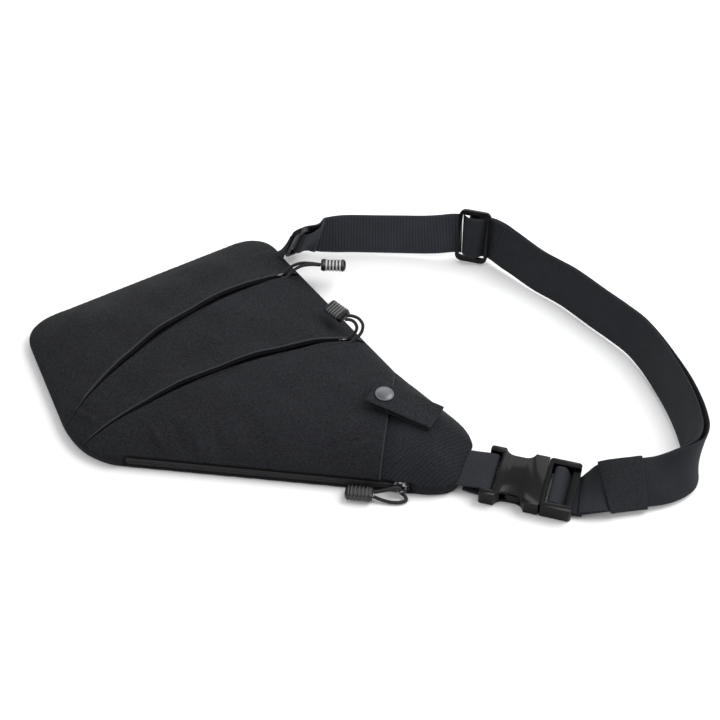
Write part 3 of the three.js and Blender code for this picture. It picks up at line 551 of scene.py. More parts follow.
def roundSpine(points):
    # the nearest point of the spine, how far off it is, and where round the spine the point lies, 0 to 4
    offset = points - spineStart
    t = np.clip(offset @ spineAlong / (spineAlong @ spineAlong), 0, 1)
    away = points - (spineStart + t[:, None] * spineAlong)
    along, side = away @ spineUnit, away @ spineSide
    turn = np.arctan2(side, np.abs(along)) / math.pi
    place = np.where(
        t >= 1, 1.5 + turn, np.where(t <= 0, 3.5 - turn, np.where(side < 0, t, 3 - t))
    )
    return t, np.linalg.norm(away, axis=1), place


def outlineReach():
    # distance from spine to outline as a function of the place round the spine
    _, reach, place = roundSpine(outline)
    order = np.argsort(place)
    return place[order], reach[order]


reachPlaces, reachDistances = outlineReach()


def shareOf(points):
    # 0 on the spine, 1 on the outline
    _, distance, place = roundSpine(points)
    return np.clip(distance / np.interp(place, reachPlaces, reachDistances, period=4), 0, 1)


def pillowHeight(share):
    # flat crown that falls ever faster to the outer seam
    crown = (1 - share ** bagShape["crownFlat"]) ** bagShape["crownSteep"]
    return bagShape["edgeHeight"] + bagShape["crownRise"] * crown


# Zips.
zipShape = dict(
    drop=4.6, coilPitch=1.7,
    upper=[(-106, -68, 14), (-30, 46.5, 22.8), (33, 107, 13.4)],
    middle=[(-87, -97, 12.6), (3, -24, 23.4), (99, 30, 14.6)],
    side=[(-62, -116, 6.7), (165, -116, 6.7)],
)


def arcFrames(anchors, shares):
    # origin, tangent, side and up at each share of the arc through three points
    a, b, c = (np.array(p, float) - (0, 0, zipShape["drop"]) for p in anchors)
    u, w = b - a, c - a
    normal = np.cross(u, w)
    centre = a + (np.cross(normal, u) * (w @ w) + np.cross(w, normal) * (u @ u)) / (2 * normal @ normal)
    axis = unit(normal)
    radial = a - centre
    total = math.acos(unit(radial) @ unit(c - centre))
    angle = np.asarray(shares)[:, None] * total
    square = np.cross(axis, radial)
    origin = centre + radial * np.cos(angle) + square * np.sin(angle)
    tangent = unit(np.cross(axis, origin - centre))
    half = radial * math.cos(total / 2) + square * math.sin(total / 2)
    middleTangent = unit(np.cross(axis, half))
    upMiddle = unit(up - middleTangent * middleTangent[2])
    turn = angle - total / 2
    lifted = upMiddle * np.cos(turn) + np.cross(axis, upMiddle) * np.sin(turn)
    lifted = lifted + axis * (axis @ upMiddle) * (1 - np.cos(turn))
    return origin, tangent, np.cross(lifted, tangent), lifted


def lineFrames(anchors, shares):
    # the same for the straight zip, whose up points out of the bag's side
    start, end = (np.array(p, float) for p in anchors)
    shares = np.asarray(shares)[:, None]
    origin = start * (1 - shares) + end * shares
    ones = np.ones_like(shares)
    tangent = ones * unit(end - start)
    lifted = ones * np.array([0.0, -1.0, 0.0])
    return origin, tangent, np.cross(lifted, tangent), lifted


def zipFrames(name, shares):
    # frames of a zip by its name
    frames = lineFrames if name == "side" else arcFrames
    return frames(zipShape[name], shares)


def zipPlan(name, shares):
    # the zip's line seen from above, and its plan direction to the upper side
    origin, _, side, _ = zipFrames(name, shares)
    return origin[:, :2], unit(side[:, :2])


# How far a zip's line is run on past its ends, as shares of its length.
zipReach = (-0.22, 1.26)


def crossings(name):
    # the shares where a zip's line, run on past its ends, meets the outline
    shares = np.linspace(*zipReach, 800)
    inside = shareOf(zipPlan(name, shares)[0]) < 0.9995
    return shares[inside][0], shares[inside][-1]


zipEnds = {name: crossings(name) for name in ("upper", "middle")}
print("zips cross the outline at", zipEnds)

# How the cloth stands beside each curved zip: gap from the coil, lift of the folded edge, how far it spreads.
lipShape = dict(
    upperOver=dict(gap=3.3, lift=1.5, spread=9.0), upperUnder=dict(gap=-2.9, lift=-1.1, spread=8.0),
    middleOver=dict(gap=2.7, lift=1.2, spread=9.0), middleUnder=dict(gap=-3.2, lift=-1.2, spread=8.0),
)
lipRadius = 0.8
# Before this share of the zip its two panels meet in a closed crease; the second number is what stays open.
creaseFrom = dict(upper=(-0.02, 0.06), middle=(-0.05, 0.3))


gape = dict(start=-0.02, widenOver=0.45, narrowFrom=0.68, narrowOver=0.3, narrowBy=0.6)


def opening(shares):
    # how far the zip gapes: nothing at the closed left end, most past the middle, less at the slider
    shares = np.clip(shares, -0.1, 1.1)
    narrowed = gape["narrowBy"] * ease((shares - gape["narrowFrom"]) / gape["narrowOver"])
    return ease((shares - gape["start"]) / gape["widenOver"]) * (1 - narrowed)


def apart(zipName, shares):
    # 1 beside the zip, falling to a small rest where the panels only meet in a crease
    edge, rest = creaseFrom[zipName]
    return rest + (1 - rest) * ease((shares - edge + 0.06) / 0.12)


def lipLine(zipName, lip, shares):
    # plan line of a folded cloth edge beside the zip
    middle, side = zipPlan(zipName, shares)
    sign = np.sign(lip["gap"])
    gap = sign * 0.75 + (lip["gap"] - sign * 0.75) * opening(shares)
    return middle + side * ((gap + sign * lipRadius) * apart(zipName, shares))[:, None]


def besideZip(points, zipName):
    # signed plan distance from a zip's line, and the share along it
    shares = np.linspace(*zipReach, 500)
    line, side = zipPlan(zipName, shares)
    nearest = np.zeros(len(points), int)
    for start in range(0, len(points), 4000):
        block = points[start:start + 4000]
        squares = ((block[:, None, :] - line[None]) ** 2).sum(2)
        nearest[start:start + 4000] = squares.argmin(1)
    away = ((points - line[nearest]) * side[nearest]).sum(1)
    return away, shares[nearest]


# Soft folds: direction of the crest in degrees, wavelength, height, and a shift.
softFolds = [
    (23, 63, 0.5, 0.4), (74, 47, 0.38, 2.1), (131, 38, 0.26, 4.4), (162, 29, 0.18, 1.2), (48, 23, 0.12, 3.3),
]
# Small creases: middle, length, width, height and direction in degrees.
creases = [
    (-38, -101, 24, 7, 1.6, 128), (-22, -98, 28, 7, -1.5, 120), (-6, -102, 26, 6, 1.6, 112),
    (9, -99, 28, 7, -1.5, 105), (26, -102, 24, 7, 1.1, 97), (46, -102, 22, 7, -0.8, 92),
    (-100, -84, 26, 5, 1.1, 150), (-112, -70, 30, 6, -0.8, 140), (152, -104, 30, 4, 1.5, 35),
    (160, -98, 26, 4, -1.2, 42), (118, -96, 34, 7, 0.7, 20), (150, -6, 22, 5, -0.8, 120),
    (104, 26, 22, 5, 0.8, 60), (84, 14, 26, 6, -0.7, 40), (22, 122, 24, 5, 0.8, 70),
    (6, 138, 22, 5, -0.7, 40), (-60, 96, 40, 9, 0.5, 38), (-140, 30, 30, 8, 0.6, 75),
    (-150, -20, 34, 8, -0.5, 95), (60, -40, 60, 12, 0.5, 150), (-10, 10, 60, 10, 0.45, 60),
    (176, -62, 26, 6, 0.8, 60), (186, -84, 24, 5, -0.7, 95),
]


def clothHeight(points, share):
    # slow folds that fade towards the seam, plus short creases shaped like stretched bells
    x, y = points[:, 0], points[:, 1]
    total = np.zeros(len(points))
    for degrees, wave, height, shift in softFolds:
        direction = math.radians(degrees)
        along = x * math.cos(direction) + y * math.sin(direction)
        total += height * np.sin(along * 2 * math.pi / wave + shift)
    total *= 1 - 0.6 * share**3
    for cx, cy, long, wide, height, degrees in creases:
        direction = math.radians(degrees)
        along = (x - cx) * math.cos(direction) + (y - cy) * math.sin(direction)
        across = (y - cy) * math.cos(direction) - (x - cx) * math.sin(direction)
        total += height * np.exp(-((along / long * 2) ** 2) - (across / wide * 2) ** 2)
    return total


def bagSurface(points, beside=(), seamStep=0.0):
    # the front's height at plan points: pillow, folds, lifted lips, the step at the tip seam, puckered rim
    share = shareOf(points)
    height = pillowHeight(share)
    fold = clothHeight(points, share) * ease((1 - share) / 0.12)
    for zipName, lip in beside:
        away, along = besideZip(points, zipName)
        window = opening(along) * ease((1 - share) / 0.1)
        reach = np.maximum(np.abs(away) - abs(lip["gap"]), 0)
        height += lip["lift"] * window * np.exp(-((reach / lip["spread"]) ** 2))
    past = points[:, 0] - bagShape["seamX"]
    near = 1 - ease(past / 12) if seamStep < 0 else np.exp(-((past / 9) ** 2))
    fold += seamStep * near * (0.3 + 0.7 * ease((1 - share) / 0.05))
    rim = np.exp(-(((1 - share) / 0.02) ** 2))
    pucker = 0.22 * rim * np.sin(points[:, 0] * 0.9 + points[:, 1] * 0.7)
    return np.column_stack([points, height + fold + pucker])


dentShape = dict(start=-68, end=171, fade=8, middle=6.7, half=4.7, soft=1.5, wall=-115.3)


def sideZipDent(points):
    # the outer wall is drawn in to a flat face where the straight zip is let into it
    dent = dentShape
    x, y, z = points[:, 0], points[:, 1], points[:, 2]
    window = ease((x - dent["start"]) / dent["fade"]) * ease((dent["end"] - x) / dent["fade"])
    bump = ease((dent["half"] - np.abs(z - dent["middle"])) / dent["soft"])
    depth = np.maximum(dent["wall"] - y, 0) * window * bump
    return np.column_stack([x, y + depth, z])


def patch(bottom, top, left, right, rows, columns):
    # a surface between four plan curves: rows from bottom to top, columns from left to right
    bottom, top = evenly(bottom, columns), evenly(top, columns)
    left, right = evenly(left, rows), evenly(right, rows)
    u = np.linspace(0, 1, columns)[None, :, None]
    v = np.linspace(0, 1, rows)
    v = (0.5 - 0.5 * np.cos(math.pi * v))[:, None, None] * 0.55 + v[:, None, None] * 0.45
    left, right = (readTable(v[:, 0, 0], np.linspace(0, 1, rows), side) for side in (left, right))
    ruled = bottom[None] * (1 - v) + top[None] * v
    sides = left[:, None] * (1 - u) + right[:, None] * u
    corner = (bottom[0] * (1 - u) + bottom[-1] * u) * (1 - v) + (top[0] * (1 - u) + top[-1] * u) * v
    return ruled + sides - corner


def outlineStretch(start, end):
    # the outline's points from the one nearest start, going forward to the one nearest end
    first = ((outline - start) ** 2).sum(1).argmin()
    last = ((outline - end) ** 2).sum(1).argmin()
    steps = (last - first) % len(outline)
    return outline[(first + np.arange(steps + 1)) % len(outline)]


def lipRoll(edge, zipName, sign, deep=4.0):
    # rows that carry a panel's edge round its fold and down beside the coil
    _, along = besideZip(edge[:, :2], zipName)
    _, side = zipPlan(zipName, along)
    scale = apart(zipName, along)[:, None]
    rows = []
    for angle in (45, 90):
        turn = math.radians(angle)
        shift = lipRadius * math.sin(turn)
        plan = edge[:, :2] - side * sign * shift * scale
        rows.append(np.column_stack([plan, edge[:, 2:] - lipRadius * (1 - math.cos(turn)) * scale]))
    for sunk in (1.4, deep):
        plan = edge[:, :2] - side * sign * (lipRadius - 0.3) * scale
        rows.append(np.column_stack([plan, edge[:, 2:] - (lipRadius + sunk) * scale]))
    return np.stack(rows[::-1])


def seamTurned(surface):
    # three more columns that carry the panel's last one over the seam and down
    edge = surface[:, -1:]
    shift = np.exp(-(((edge[..., :1] - bagShape["seamX"]) / 4) ** 2))
    columns = [surface]
    for out, sunk in ((0.35, 0.15), (0.5, 0.5), (0.5, 2.0)):
        columns.append(edge + np.concatenate([shift * out, 0 * shift, 0 * shift - sunk], 2))
    return np.concatenate(columns, 1)


def panelMesh(name, plan, beside, rollBottom=None, rollTop=None, seamStep=0.0):
    # a panel's grid raised onto the bag's surface, with its edges folded beside the zips and the tip seam;
    # "edge" is how much painted highlight and wear each point gets: most on a lower roll and the seam, least
    # on an upper roll
    rows, columns = plan.shape[:2]
    surface = sideZipDent(bagSurface(plan.reshape(-1, 2), beside, seamStep)).reshape(rows, columns, 3)
    if seamStep > 0:
        surface = seamTurned(surface)
    # painted highlight with wear: on the seam columns and on the rolled lips beside the zips
    highlightAndWear = np.zeros(surface.shape[:2])
    if seamStep > 0:
        highlightAndWear[:, columns - 1:columns + 1] = 0.8
    parts, highlightAndWearParts = [surface], [highlightAndWear]
    if rollBottom:
        parts.insert(0, lipRoll(surface[0], *rollBottom))
        highlightAndWear[0] = apart(rollBottom[0], besideZip(surface[0, :, :2], rollBottom[0])[1])
        highlightAndWear[1:3] = highlightAndWear[0] * np.array([[0.8], [0.35]])
        highlightAndWearParts.insert(0, np.vstack([np.zeros((3, highlightAndWear.shape[1])), highlightAndWear[:1]]))
    if rollTop:
        parts.append(lipRoll(surface[-1], *rollTop)[::-1])
        highlightAndWear[-1] = 0.25 * apart(rollTop[0], besideZip(surface[-1, :, :2], rollTop[0])[1])
        highlightAndWearParts.append(np.zeros((4, highlightAndWear.shape[1])))
    mesh = gridMesh(name, np.concatenate(parts))
    attribute = mesh.attributes.new("edge", "FLOAT", "POINT")
    attribute.data.foreach_set("value", np.concatenate(highlightAndWearParts).astype(np.float32).ravel())
    return mesh


def makePanels():
    # each front panel fills what lies between its folded edges, the outline and the tip seam
    lines = {}
    for lipName, lip in lipShape.items():
        zipName = lipName.removesuffix("Over").removesuffix("Under")
        lines[lipName] = lipLine(zipName, lip, np.linspace(*zipEnds[zipName], 300))
    leftCorner, topCorner = np.array([-175.0, 12.0]), np.array([2.0, 153.5])
    left = outlineStretch(leftCorner, lines["upperOver"][0])[::-1]
    top = outlineStretch(topCorner, leftCorner)[::-1]
    right = outlineStretch(lines["upperOver"][-1], topCorner)
    plan = patch(lines["upperOver"], top, left, right, 110, 230)
    mesh = panelMesh("front_upper", plan, [("upper", lipShape["upperOver"])], ("upper", 1))
    piece("front_upper_cloth", mesh, "shell", "bag", "front_upper_panel")
    left = outlineStretch(lines["upperUnder"][0], lines["middleOver"][0])[::-1]
    right = outlineStretch(lines["middleOver"][-1], lines["upperUnder"][-1])
    plan = patch(lines["middleOver"], lines["upperUnder"], left, right, 100, 230)
    beside = [("middle", lipShape["middleOver"]), ("upper", lipShape["upperUnder"])]
    mesh = panelMesh("front_middle", plan, beside, ("middle", 1), ("upper", -1))
    piece("front_middle_cloth", mesh, "shell", "bag", "front_middle_panel")
    seamX = bagShape["seamX"] - 0.2
    low, corner = np.array([seamX, -119.0]), np.array([-84.0, -116.5])
    shoulder = np.array([134.0, 9.8])
    bottom = outlineStretch(corner, low)
    left = outlineStretch(lines["middleUnder"][0], corner)[::-1]
    seam = [low, (seamX, -60), (seamX, -10), (seamX - 0.9, -2.5), (seamX - 3, 3.5), shoulder]
    seam = smoothLine(seam, 120)
    right = np.vstack([seam, outlineStretch(shoulder, lines["middleUnder"][-1])])
    plan = patch(bottom, lines["middleUnder"], left, right, 130, 230)
    beside = [("middle", lipShape["middleUnder"])]
    mesh = panelMesh("front_lower", plan, beside, None, ("middle", -1), 1.0)
    piece("front_lower_cloth", mesh, "shell", "bag", "front_lower_panel")
    low, high = np.array([131.0, -119.0]), np.array([131.0, 13.2])
    nose, brow = np.array([200.0, -110.0]), np.array([206.5, -58.0])
    plan = patch(
        outlineStretch(low, nose), outlineStretch(brow, high)[::-1],
        np.linspace(low, high, 100), outlineStretch(nose, brow), 120, 80,
    )
    mesh = panelMesh("tip", plan, [], seamStep=-1.9)
    piece("tip_cloth", mesh, "tip", "bag", "tip_panel")


# The outer wall's rings as (how far in from the outline, height), then the back's as shares of the way out.
wallRings = [
    (-0.05, 9.15), (-0.5, 8.3), (-0.9, 7.2), (-1.1, 5.8), (-1.0, 4.4), (-0.6, 3.2), (0.2, 2.2), (0.5, 1.7),
    (0.3, 1.3), (0.2, 0.8), (0.8, 0.25), (2.2, 0.05),
]
backShares = (0.96, 0.9, 0.8, 0.65, 0.45, 0.2, 0.02)


def makeBack():
    # the outer wall below the rim and the back: rings round the outline from the rim down and inwards
    ring = outlinePoints(900)
    foot = spineStart + roundSpine(ring)[0][:, None] * spineAlong
    out = unit(ring - foot)
    wobble = 0.25 * np.sin(ring[:, 0] * 0.35 + ring[:, 1] * 0.22)
    rings = []
    for inset, height in wallRings:
        inner = ring - out * (inset + wobble * 0.4)[:, None]
        rings.append(np.column_stack([inner, np.full(len(ring), height)]))
    for share in backShares:
        rings.append(np.column_stack([foot + (ring - foot) * share, np.full(len(ring), wallRings[-1][1])]))
    grid = np.stack(rings)
    grid = sideZipDent(grid.reshape(-1, 3)).reshape(grid.shape)
    mesh = gridMesh("back", grid, wrapV=True)
    piece("back_cloth", mesh, "back", "bag", "back_panel")


makePanels()
makeBack()
print("cloth panels ready")


# Zip parts.
def sweep(origin, side, lifted, section):
    # a closed section, as (side, rise) pairs, carried along frames
    section = np.asarray(section, float)
    return origin[:, None] + side[:, None] * section[None, :, :1] + lifted[:, None] * section[None, :, 1:]


coilShape = dict(offset=1.42, swing=1.12, rise=dict(upper=2.3, middle=2.3, side=1.7), bob=0.75, wire=0.38)
tapeShape = dict(inner=0.35, half=dict(upper=8.6, middle=8.6, side=3.6), thick=0.5,
                 rise=dict(upper=0.0, middle=0.0, side=0.2))


def coilMesh(name, zipName, sign):
    # a flattened helix beside the zip's line, one loop for each tooth, its two sides half a turn apart
    shape = coilShape
    turns = int(lengthOf(zipFrames(zipName, np.linspace(0.0, 1.0, 400))[0]) / zipShape["coilPitch"])
    count = turns * 10
    origin, _, side, lifted = zipFrames(zipName, np.linspace(0.005, 0.995, count))
    angle = np.linspace(0, turns * 2 * math.pi, count) + (0 if sign > 0 else math.pi)
    across = sign * (shape["offset"] - shape["swing"] * np.cos(angle))
    rise = shape["rise"][zipName] + shape["bob"] * np.sin(angle)
    line = origin + side * across[:, None] + lifted * rise[:, None]
    travel = unit(np.gradient(line, axis=0))
    first = unit(np.cross(travel, lifted))
    grid = circles(line, first, np.cross(first, travel), shape["wire"], 6)
    return gridMesh(name, grid, wrapV=True, capped=True)


def makeZips():
    # for each zip: two flat tapes, two coils that mesh between them, and the slider's own shape
    for name in ("upper", "middle", "side"):
        inner, half = tapeShape["inner"], tapeShape["half"][name]
        origin, _, side, lifted = zipFrames(name, np.linspace(0, 1, 160))
        distances = np.linspace(0, lengthOf(origin), 160)
        across = np.r_[np.linspace(inner, half, 8), np.linspace(half, inner, 8)]
        rise = np.repeat([-tapeShape["thick"] / 2, tapeShape["thick"] / 2], 8) + tapeShape["rise"][name]
        for sign, hand in ((1, "left"), (-1, "right")):
            grid = sweep(origin, side, lifted, np.column_stack([sign * across, rise]))
            cloth = clothReadings(grid.shape, distances[:, None], across)
            mesh = gridMesh(f"{name}_tape", grid, wrapV=True, capped=True, cloth=cloth)
            piece(f"{name}_tape_{hand}", mesh, "tape", "bag", f"{name}_zip_tape_{hand}")
            mesh = coilMesh(f"{name}_coil", name, sign)
            piece(f"{name}_coil_{hand}", mesh, "coil", "bag", f"{name}_zip_coil_{hand}")
        softened(f"{name}_zip_slider", "slider", f"{name}_slider", 0.35)


makeZips()

# Pull cords and grips.
# Each pull's last number sets how strongly its grip's ribs are painted with highlight: strong on the upper
# grip, faint on the side one.
pulls = dict(
    upper=dict(
        route=[
            (61.7, 116.1, 21.6), (53, 115.2, 23), (44, 114, 23.2), (36.5, 112, 20.5), (31.8, 109.4, 16.8),
            (28.5, 107.2, 14.9), (27.6, 104.9, 15), (28.1, 103.1, 15.2), (29.6, 101.9, 15), (32.3, 102.6, 15),
            (35.1, 105.4, 16.8), (40, 108.6, 20.6), (46, 111, 23), (54, 112.6, 23.8), (61.7, 113.4, 23.4),
        ],
        mouth=(62.1, 114.8, 22.5), along=(1, 0.1, -0.02), up=(0, 0.2, 1), wearAndSheen=0.9,
    ),
    middle=dict(
        route=[
            (93.1, 42, 28.1), (97.5, 41.6, 28.6), (101.5, 40, 27.4), (103.6, 37.2, 24.2), (102, 34.8, 20),
            (98.4, 32.9, 17.1), (94.6, 31.3, 16), (93, 29.4, 16.2), (93.2, 27.4, 16.3), (94.6, 26, 16.1),
            (97.2, 25.9, 16), (100.8, 27.8, 17.1), (105, 30.6, 19.6), (108.2, 34.6, 23), (108.4, 38.8, 27.2),
            (104.5, 42.6, 29.8), (99, 44.6, 30.4), (94.4, 44.9, 29.9),
        ],
        mouth=(92.6, 44.3, 28.9), along=(-0.74, 0.67, -0.09), up=(-0.1, -0.25, 1), wearAndSheen=0.22,
    ),
    side=dict(
        route=[
            (137, -125.2, 5.6), (143, -124.4, 7), (149, -123.6, 8.8), (153.6, -122.6, 10.2),
            (156.4, -121.8, 9.2), (157.3, -121.4, 6.7), (158.2, -122, 4.1), (161.4, -124, 2.5),
            (162.6, -127, 1.9), (158.5, -129.6, 1.8), (151, -130.4, 1.8), (144, -129.8, 2.6),
            (137, -128.4, 4.2),
        ],
        mouth=(136.6, -126.8, 4.9), along=(-1, 0, 0), up=(0, 0.12, 1), wearAndSheen=0.04,
    ),
)
gripShape = dict(long=22.0, wide=13.0, thick=7.0, square=0.42, nose=0.14, tail=0.1, cordDiameter=2.8)
ribShape = dict(count=5, first=0.16, last=0.84, fade=0.03, shift=1.2, sharp=1.6, deep=0.26, narrow=0.05)


def tubeMesh(name, line, radius, sides=14):
    # a round tube whose section is carried along the line without twist
    travel = unit(np.gradient(line, axis=0))
    first = [unit(np.cross(travel[0], (0.31, 0.17, 0.94)))]
    for direction in travel[1:]:
        turned = first[-1] - direction * (first[-1] @ direction)
        first.append(turned / np.linalg.norm(turned))
    first = np.array(first)
    grid = circles(line, first, np.cross(travel, first), radius, sides)
    turns = np.linspace(0, 1, sides, endpoint=False)
    cloth = clothReadings(grid.shape, stepsAlong(line)[:, None], turns / mm)
    return gridMesh(name, grid, wrapV=True, capped=True, cloth=cloth)


def gripMesh(name, pull):
    # rounded block: a superellipse section along its length, narrowed at the ends and stepped at the ribs
    shape = gripShape
    long = unit(np.array(pull["along"], float))
    high = np.array(pull["up"], float)
    high = unit(high - long * (high @ long))
    wide = np.cross(high, long)
    share = np.linspace(0, 1, 90)
    noseShare = np.clip((share - 1 + shape["nose"]) / shape["nose"], 0, 1)
    nose = np.sqrt(np.clip(1 - noseShare ** 2 * 0.96, 0, 1))
    tail = 0.9 + 0.1 * ease(share / shape["tail"])
    tail = tail * np.sqrt(np.clip(1 - np.clip((0.02 - share) / 0.02, 0, 1) ** 2 * 0.3, 0, 1))
    rib = ribShape
    inRibs = ease((share - rib["first"]) / rib["fade"]) * ease((rib["last"] - share) / rib["fade"])
    ribPlace = (share - rib["first"]) / (rib["last"] - rib["first"])
    ribTurn = ribPlace * rib["count"] * 2 * math.pi - rib["shift"]
    steps = ease(np.clip(0.5 + rib["sharp"] * np.sin(ribTurn), 0, 1))
    turn = np.linspace(0, 2 * math.pi, 40, endpoint=False)
    across, rise = roundedBlock(turn, shape["square"], shape["wide"] / 2, shape["thick"] / 2)
    groove = inRibs * (1 - steps)
    height = (nose * tail - rib["deep"] * groove)[:, None]
    width = (np.sqrt(nose) * tail - rib["narrow"] * groove)[:, None]
    middle = np.array(pull["mouth"]) + share[:, None] * shape["long"] * long
    grid = middle[:, None] + wide * (across * width)[..., None] + high * (rise * height)[..., None]
    along = (share * shape["long"])[:, None]
    # the third reading is how strongly this grip's ribs are painted with highlight
    cloth = clothReadings(grid.shape, along, (inRibs * steps)[:, None], pull["wearAndSheen"])
    return gridMesh(name, grid, wrapV=True, capped=True, cloth=cloth)


def makePulls():
    # a cord through each slider, and the grip that holds both of its ends
    for name, pull in pulls.items():
        mesh = gripMesh(f"{name}_grip", pull)
        grip = piece(f"{name}_grip", mesh, "grip", f"{name}_pull", f"{name}_pull_grip")
        line = evenly(smoothLine(pull["route"], 500), 130)
        mesh = tubeMesh(f"{name}_cord", line, gripShape["cordDiameter"] / 2)
        cord = piece(f"{name}_cord", mesh, "cord", f"{name}_pull", f"{name}_pull_cord")
        lengthOf(line) * mm
        print(name, "cord is", round(lengthOf(line), 1), "mm")


makePulls()
print("zips and pulls ready")

# Webbing.
webbing = dict(width=38.0, thick=1.3, layer=1.05)


def ribbonMesh(name, middles, across, width=webbing["width"], thick=webbing["thick"], spread=None):
    # a flat section with rounded selvedges carried along the middles, its width along across;
    # each edge has its own normal, and the points between take a share of both
    middles = np.asarray(middles, float)
    across = unit(np.asarray(across, float))
    spread = np.ones(len(middles)) if spread is None else spread
    half = width / 2
    flat = np.linspace(-1, 1, 15)
    bend = np.radians(np.linspace(90, -90, 5)[1:-1])
    edge = thick / 2
    straight, roll = half - edge, edge * np.cos(bend)
    place = np.r_[flat * straight, straight + roll, flat[::-1] * straight, -straight - roll]
    height = np.r_[np.full(15, edge), edge * np.sin(bend), np.full(15, -edge), -edge * np.sin(bend)]
    travel = [np.gradient(middles + across * sign * half * spread[:, None], axis=0) for sign in (-1, 1)]
    normals = [unit(np.cross(across, step)) for step in travel]
    share = ((place / half + 1) / 2)[None, :, None]
    normal = unit(normals[0][:, None] * (1 - share) + normals[1][:, None] * share)
    grid = middles[:, None] + across[:, None] * place[None, :, None] * spread[:, None, None]
    grid = grid + normal * height[None, :, None]
    cloth = clothReadings(grid.shape, stepsAlong(middles)[:, None], place)
    return gridMesh(name, grid, wrapV=True, capped=True, cloth=cloth)


# The strap's middle from the corner ring to the plug, and the direction across its width at each point.
strapRoute = [
    (36.2, 140.7, 24.4), (43, 145.8, 24.2), (50, 150.8, 23), (58, 156.8, 21.2), (75, 162, 20.2),
    (109, 165.8, 20), (146, 168.2, 21.2), (178, 168.2, 24.9), (193, 166, 25.6), (208, 163.4, 25),
    (229, 153, 22), (253, 134, 20),
    (280, 115, 20), (305, 92, 20), (324, 75, 20), (338, 61, 20), (351, 41, 20), (363, 16, 20), (372, -6, 20),
    (379, -29, 20), (383, -50, 20), (384, -67, 20), (376, -83, 18.4), (360, -94, 16.8), (338, -101, 16.8),
    (316, -106, 15), (303, -107.4, 7.6), (295.4, -107.6, 2.6),
]
strapAcross = [
    (0.2, -0.42, 0.88), (0.2, -0.42, 0.88), (0.17, -0.33, 0.92), (0.03, 0.06, 1), (0, 0.22, 1), (0, 0.24, 1),
    (0.02, 0.26, 1), (0.045, 0.27, 1), (0.045, 0.27, 1), (0.045, 0.27, 1), (0.14, 0.29, 1), (0.2, 0.28, 1),
    (0.24, 0.26, 1), (0.26, 0.24, 1), (0.28, 0.22, 1), (0.31, 0.18, 1), (0.33, 0.13, 1), (0.34, 0.1, 1),
    (0.35, 0.07, 1), (0.34, 0.06, 1), (0.3, 0.08, 1), (0.04, 0.22, 1), (-0.18, 0.6, 0.9), (-0.22, 0.72, 0.72),
    (-0.14, 0.75, 0.68), (0.06, 0.82, 0.56), (0.14, 0.95, 0.2), (0.156, 0.988, 0.02),
]
routeMiddles = smoothLine(strapRoute, 6000)
routeAcross = smoothLine(strapAcross, 6000)
routeTravel = unit(np.gradient(routeMiddles, axis=0))
routeAcross = unit(routeAcross - routeTravel * (routeAcross * routeTravel).sum(1, keepdims=True))
routeOut = -np.cross(routeAcross, routeTravel)
routeSteps = stepsAlong(routeMiddles)
strapLong = routeSteps[-1]


def strapAt(distances, offsets):
    # points of a strap layer and its width directions, by distance along the route and offset off it
    middles, across = (readTable(distances, routeSteps, table) for table in (routeMiddles, routeAcross))
    return middles + outAt(distances) * np.asarray(offsets)[:, None], unit(across)


def outAt(distances):
    # the direction out of the strap's face
    return unit(readTable(distances, routeSteps, routeOut))


def routeDistance(point):
    # distance along the route of its point nearest to this one
    return routeSteps[((routeMiddles - point) ** 2).sum(1).argmin()]


glideAt = routeDistance((193, 166, 19.4))
keeperAt = routeDistance((329, -103, 13.5))
bendAt = routeDistance((380, -40, 19))


def layerMesh(name, waypoints, step=2.0):
    # a layer of webbing through (distance, offset) waypoints
    line = smoothLine(waypoints, 3000)
    line = evenly(line, max(40, int(lengthOf(line) / step)))
    middles, across = strapAt(line[:, 0], line[:, 1])
    return ribbonMesh(name, middles, across)


def fromGlide(waypoints):
    # waypoints whose distances count from the tri-glide's middle
    return [(glideAt + distance, offset) for distance, offset in waypoints]


def stitchMesh(name, starts, ends, normals, radius=0.28):
    # short thread bars, each a small bent tube that dips at both ends
    meshes = []
    for start, end, normal in zip(starts, ends, normals):
        share = np.linspace(0, 1, 6)[:, None]
        line = start * (1 - share) + end * share + normal * (0.35 * np.sin(share * math.pi) - 0.15)
        meshes.append(tubeMesh(name, line, radius, 6))
    return joined(meshes)


def stitchRow(first, last, count, normal, fill=0.62):
    # starts, ends and normals of stitches from first to last, each one filling this share of its gap
    share = np.linspace(0, 1, count, endpoint=False)[:, None]
    first, last = np.asarray(first, float), np.asarray(last, float)
    starts = first + (last - first) * share
    ends = starts + (last - first) / count * fill
    return starts, ends, np.tile(np.asarray(normal, float), (count, 1))


stitching = dict(rows=(22.6, 25.0), halfRow=16, count=14, above=0.95)


def sewnStitches():
    # two rows of thread across the strap where its sewn end is caught down
    meshes = []
    for distance in stitching["rows"]:
        height = np.interp(distance, (17, 34), (-2.7, webbing["layer"])) + stitching["above"]
        middles, across = strapAt(np.array([glideAt + distance]), [height])
        out = unit(np.cross(across[0], (1.0, 0.0, 0.0)))
        out = out if out[1] < 0 else -out
        reach = across[0] * stitching["halfRow"]
        row = stitchRow(middles[0] + reach, middles[0] - reach, stitching["count"], out)
        meshes.append(stitchMesh("stitches", *row))
    piece("sewn_stitches", joined(meshes), "thread", "tri_glide")


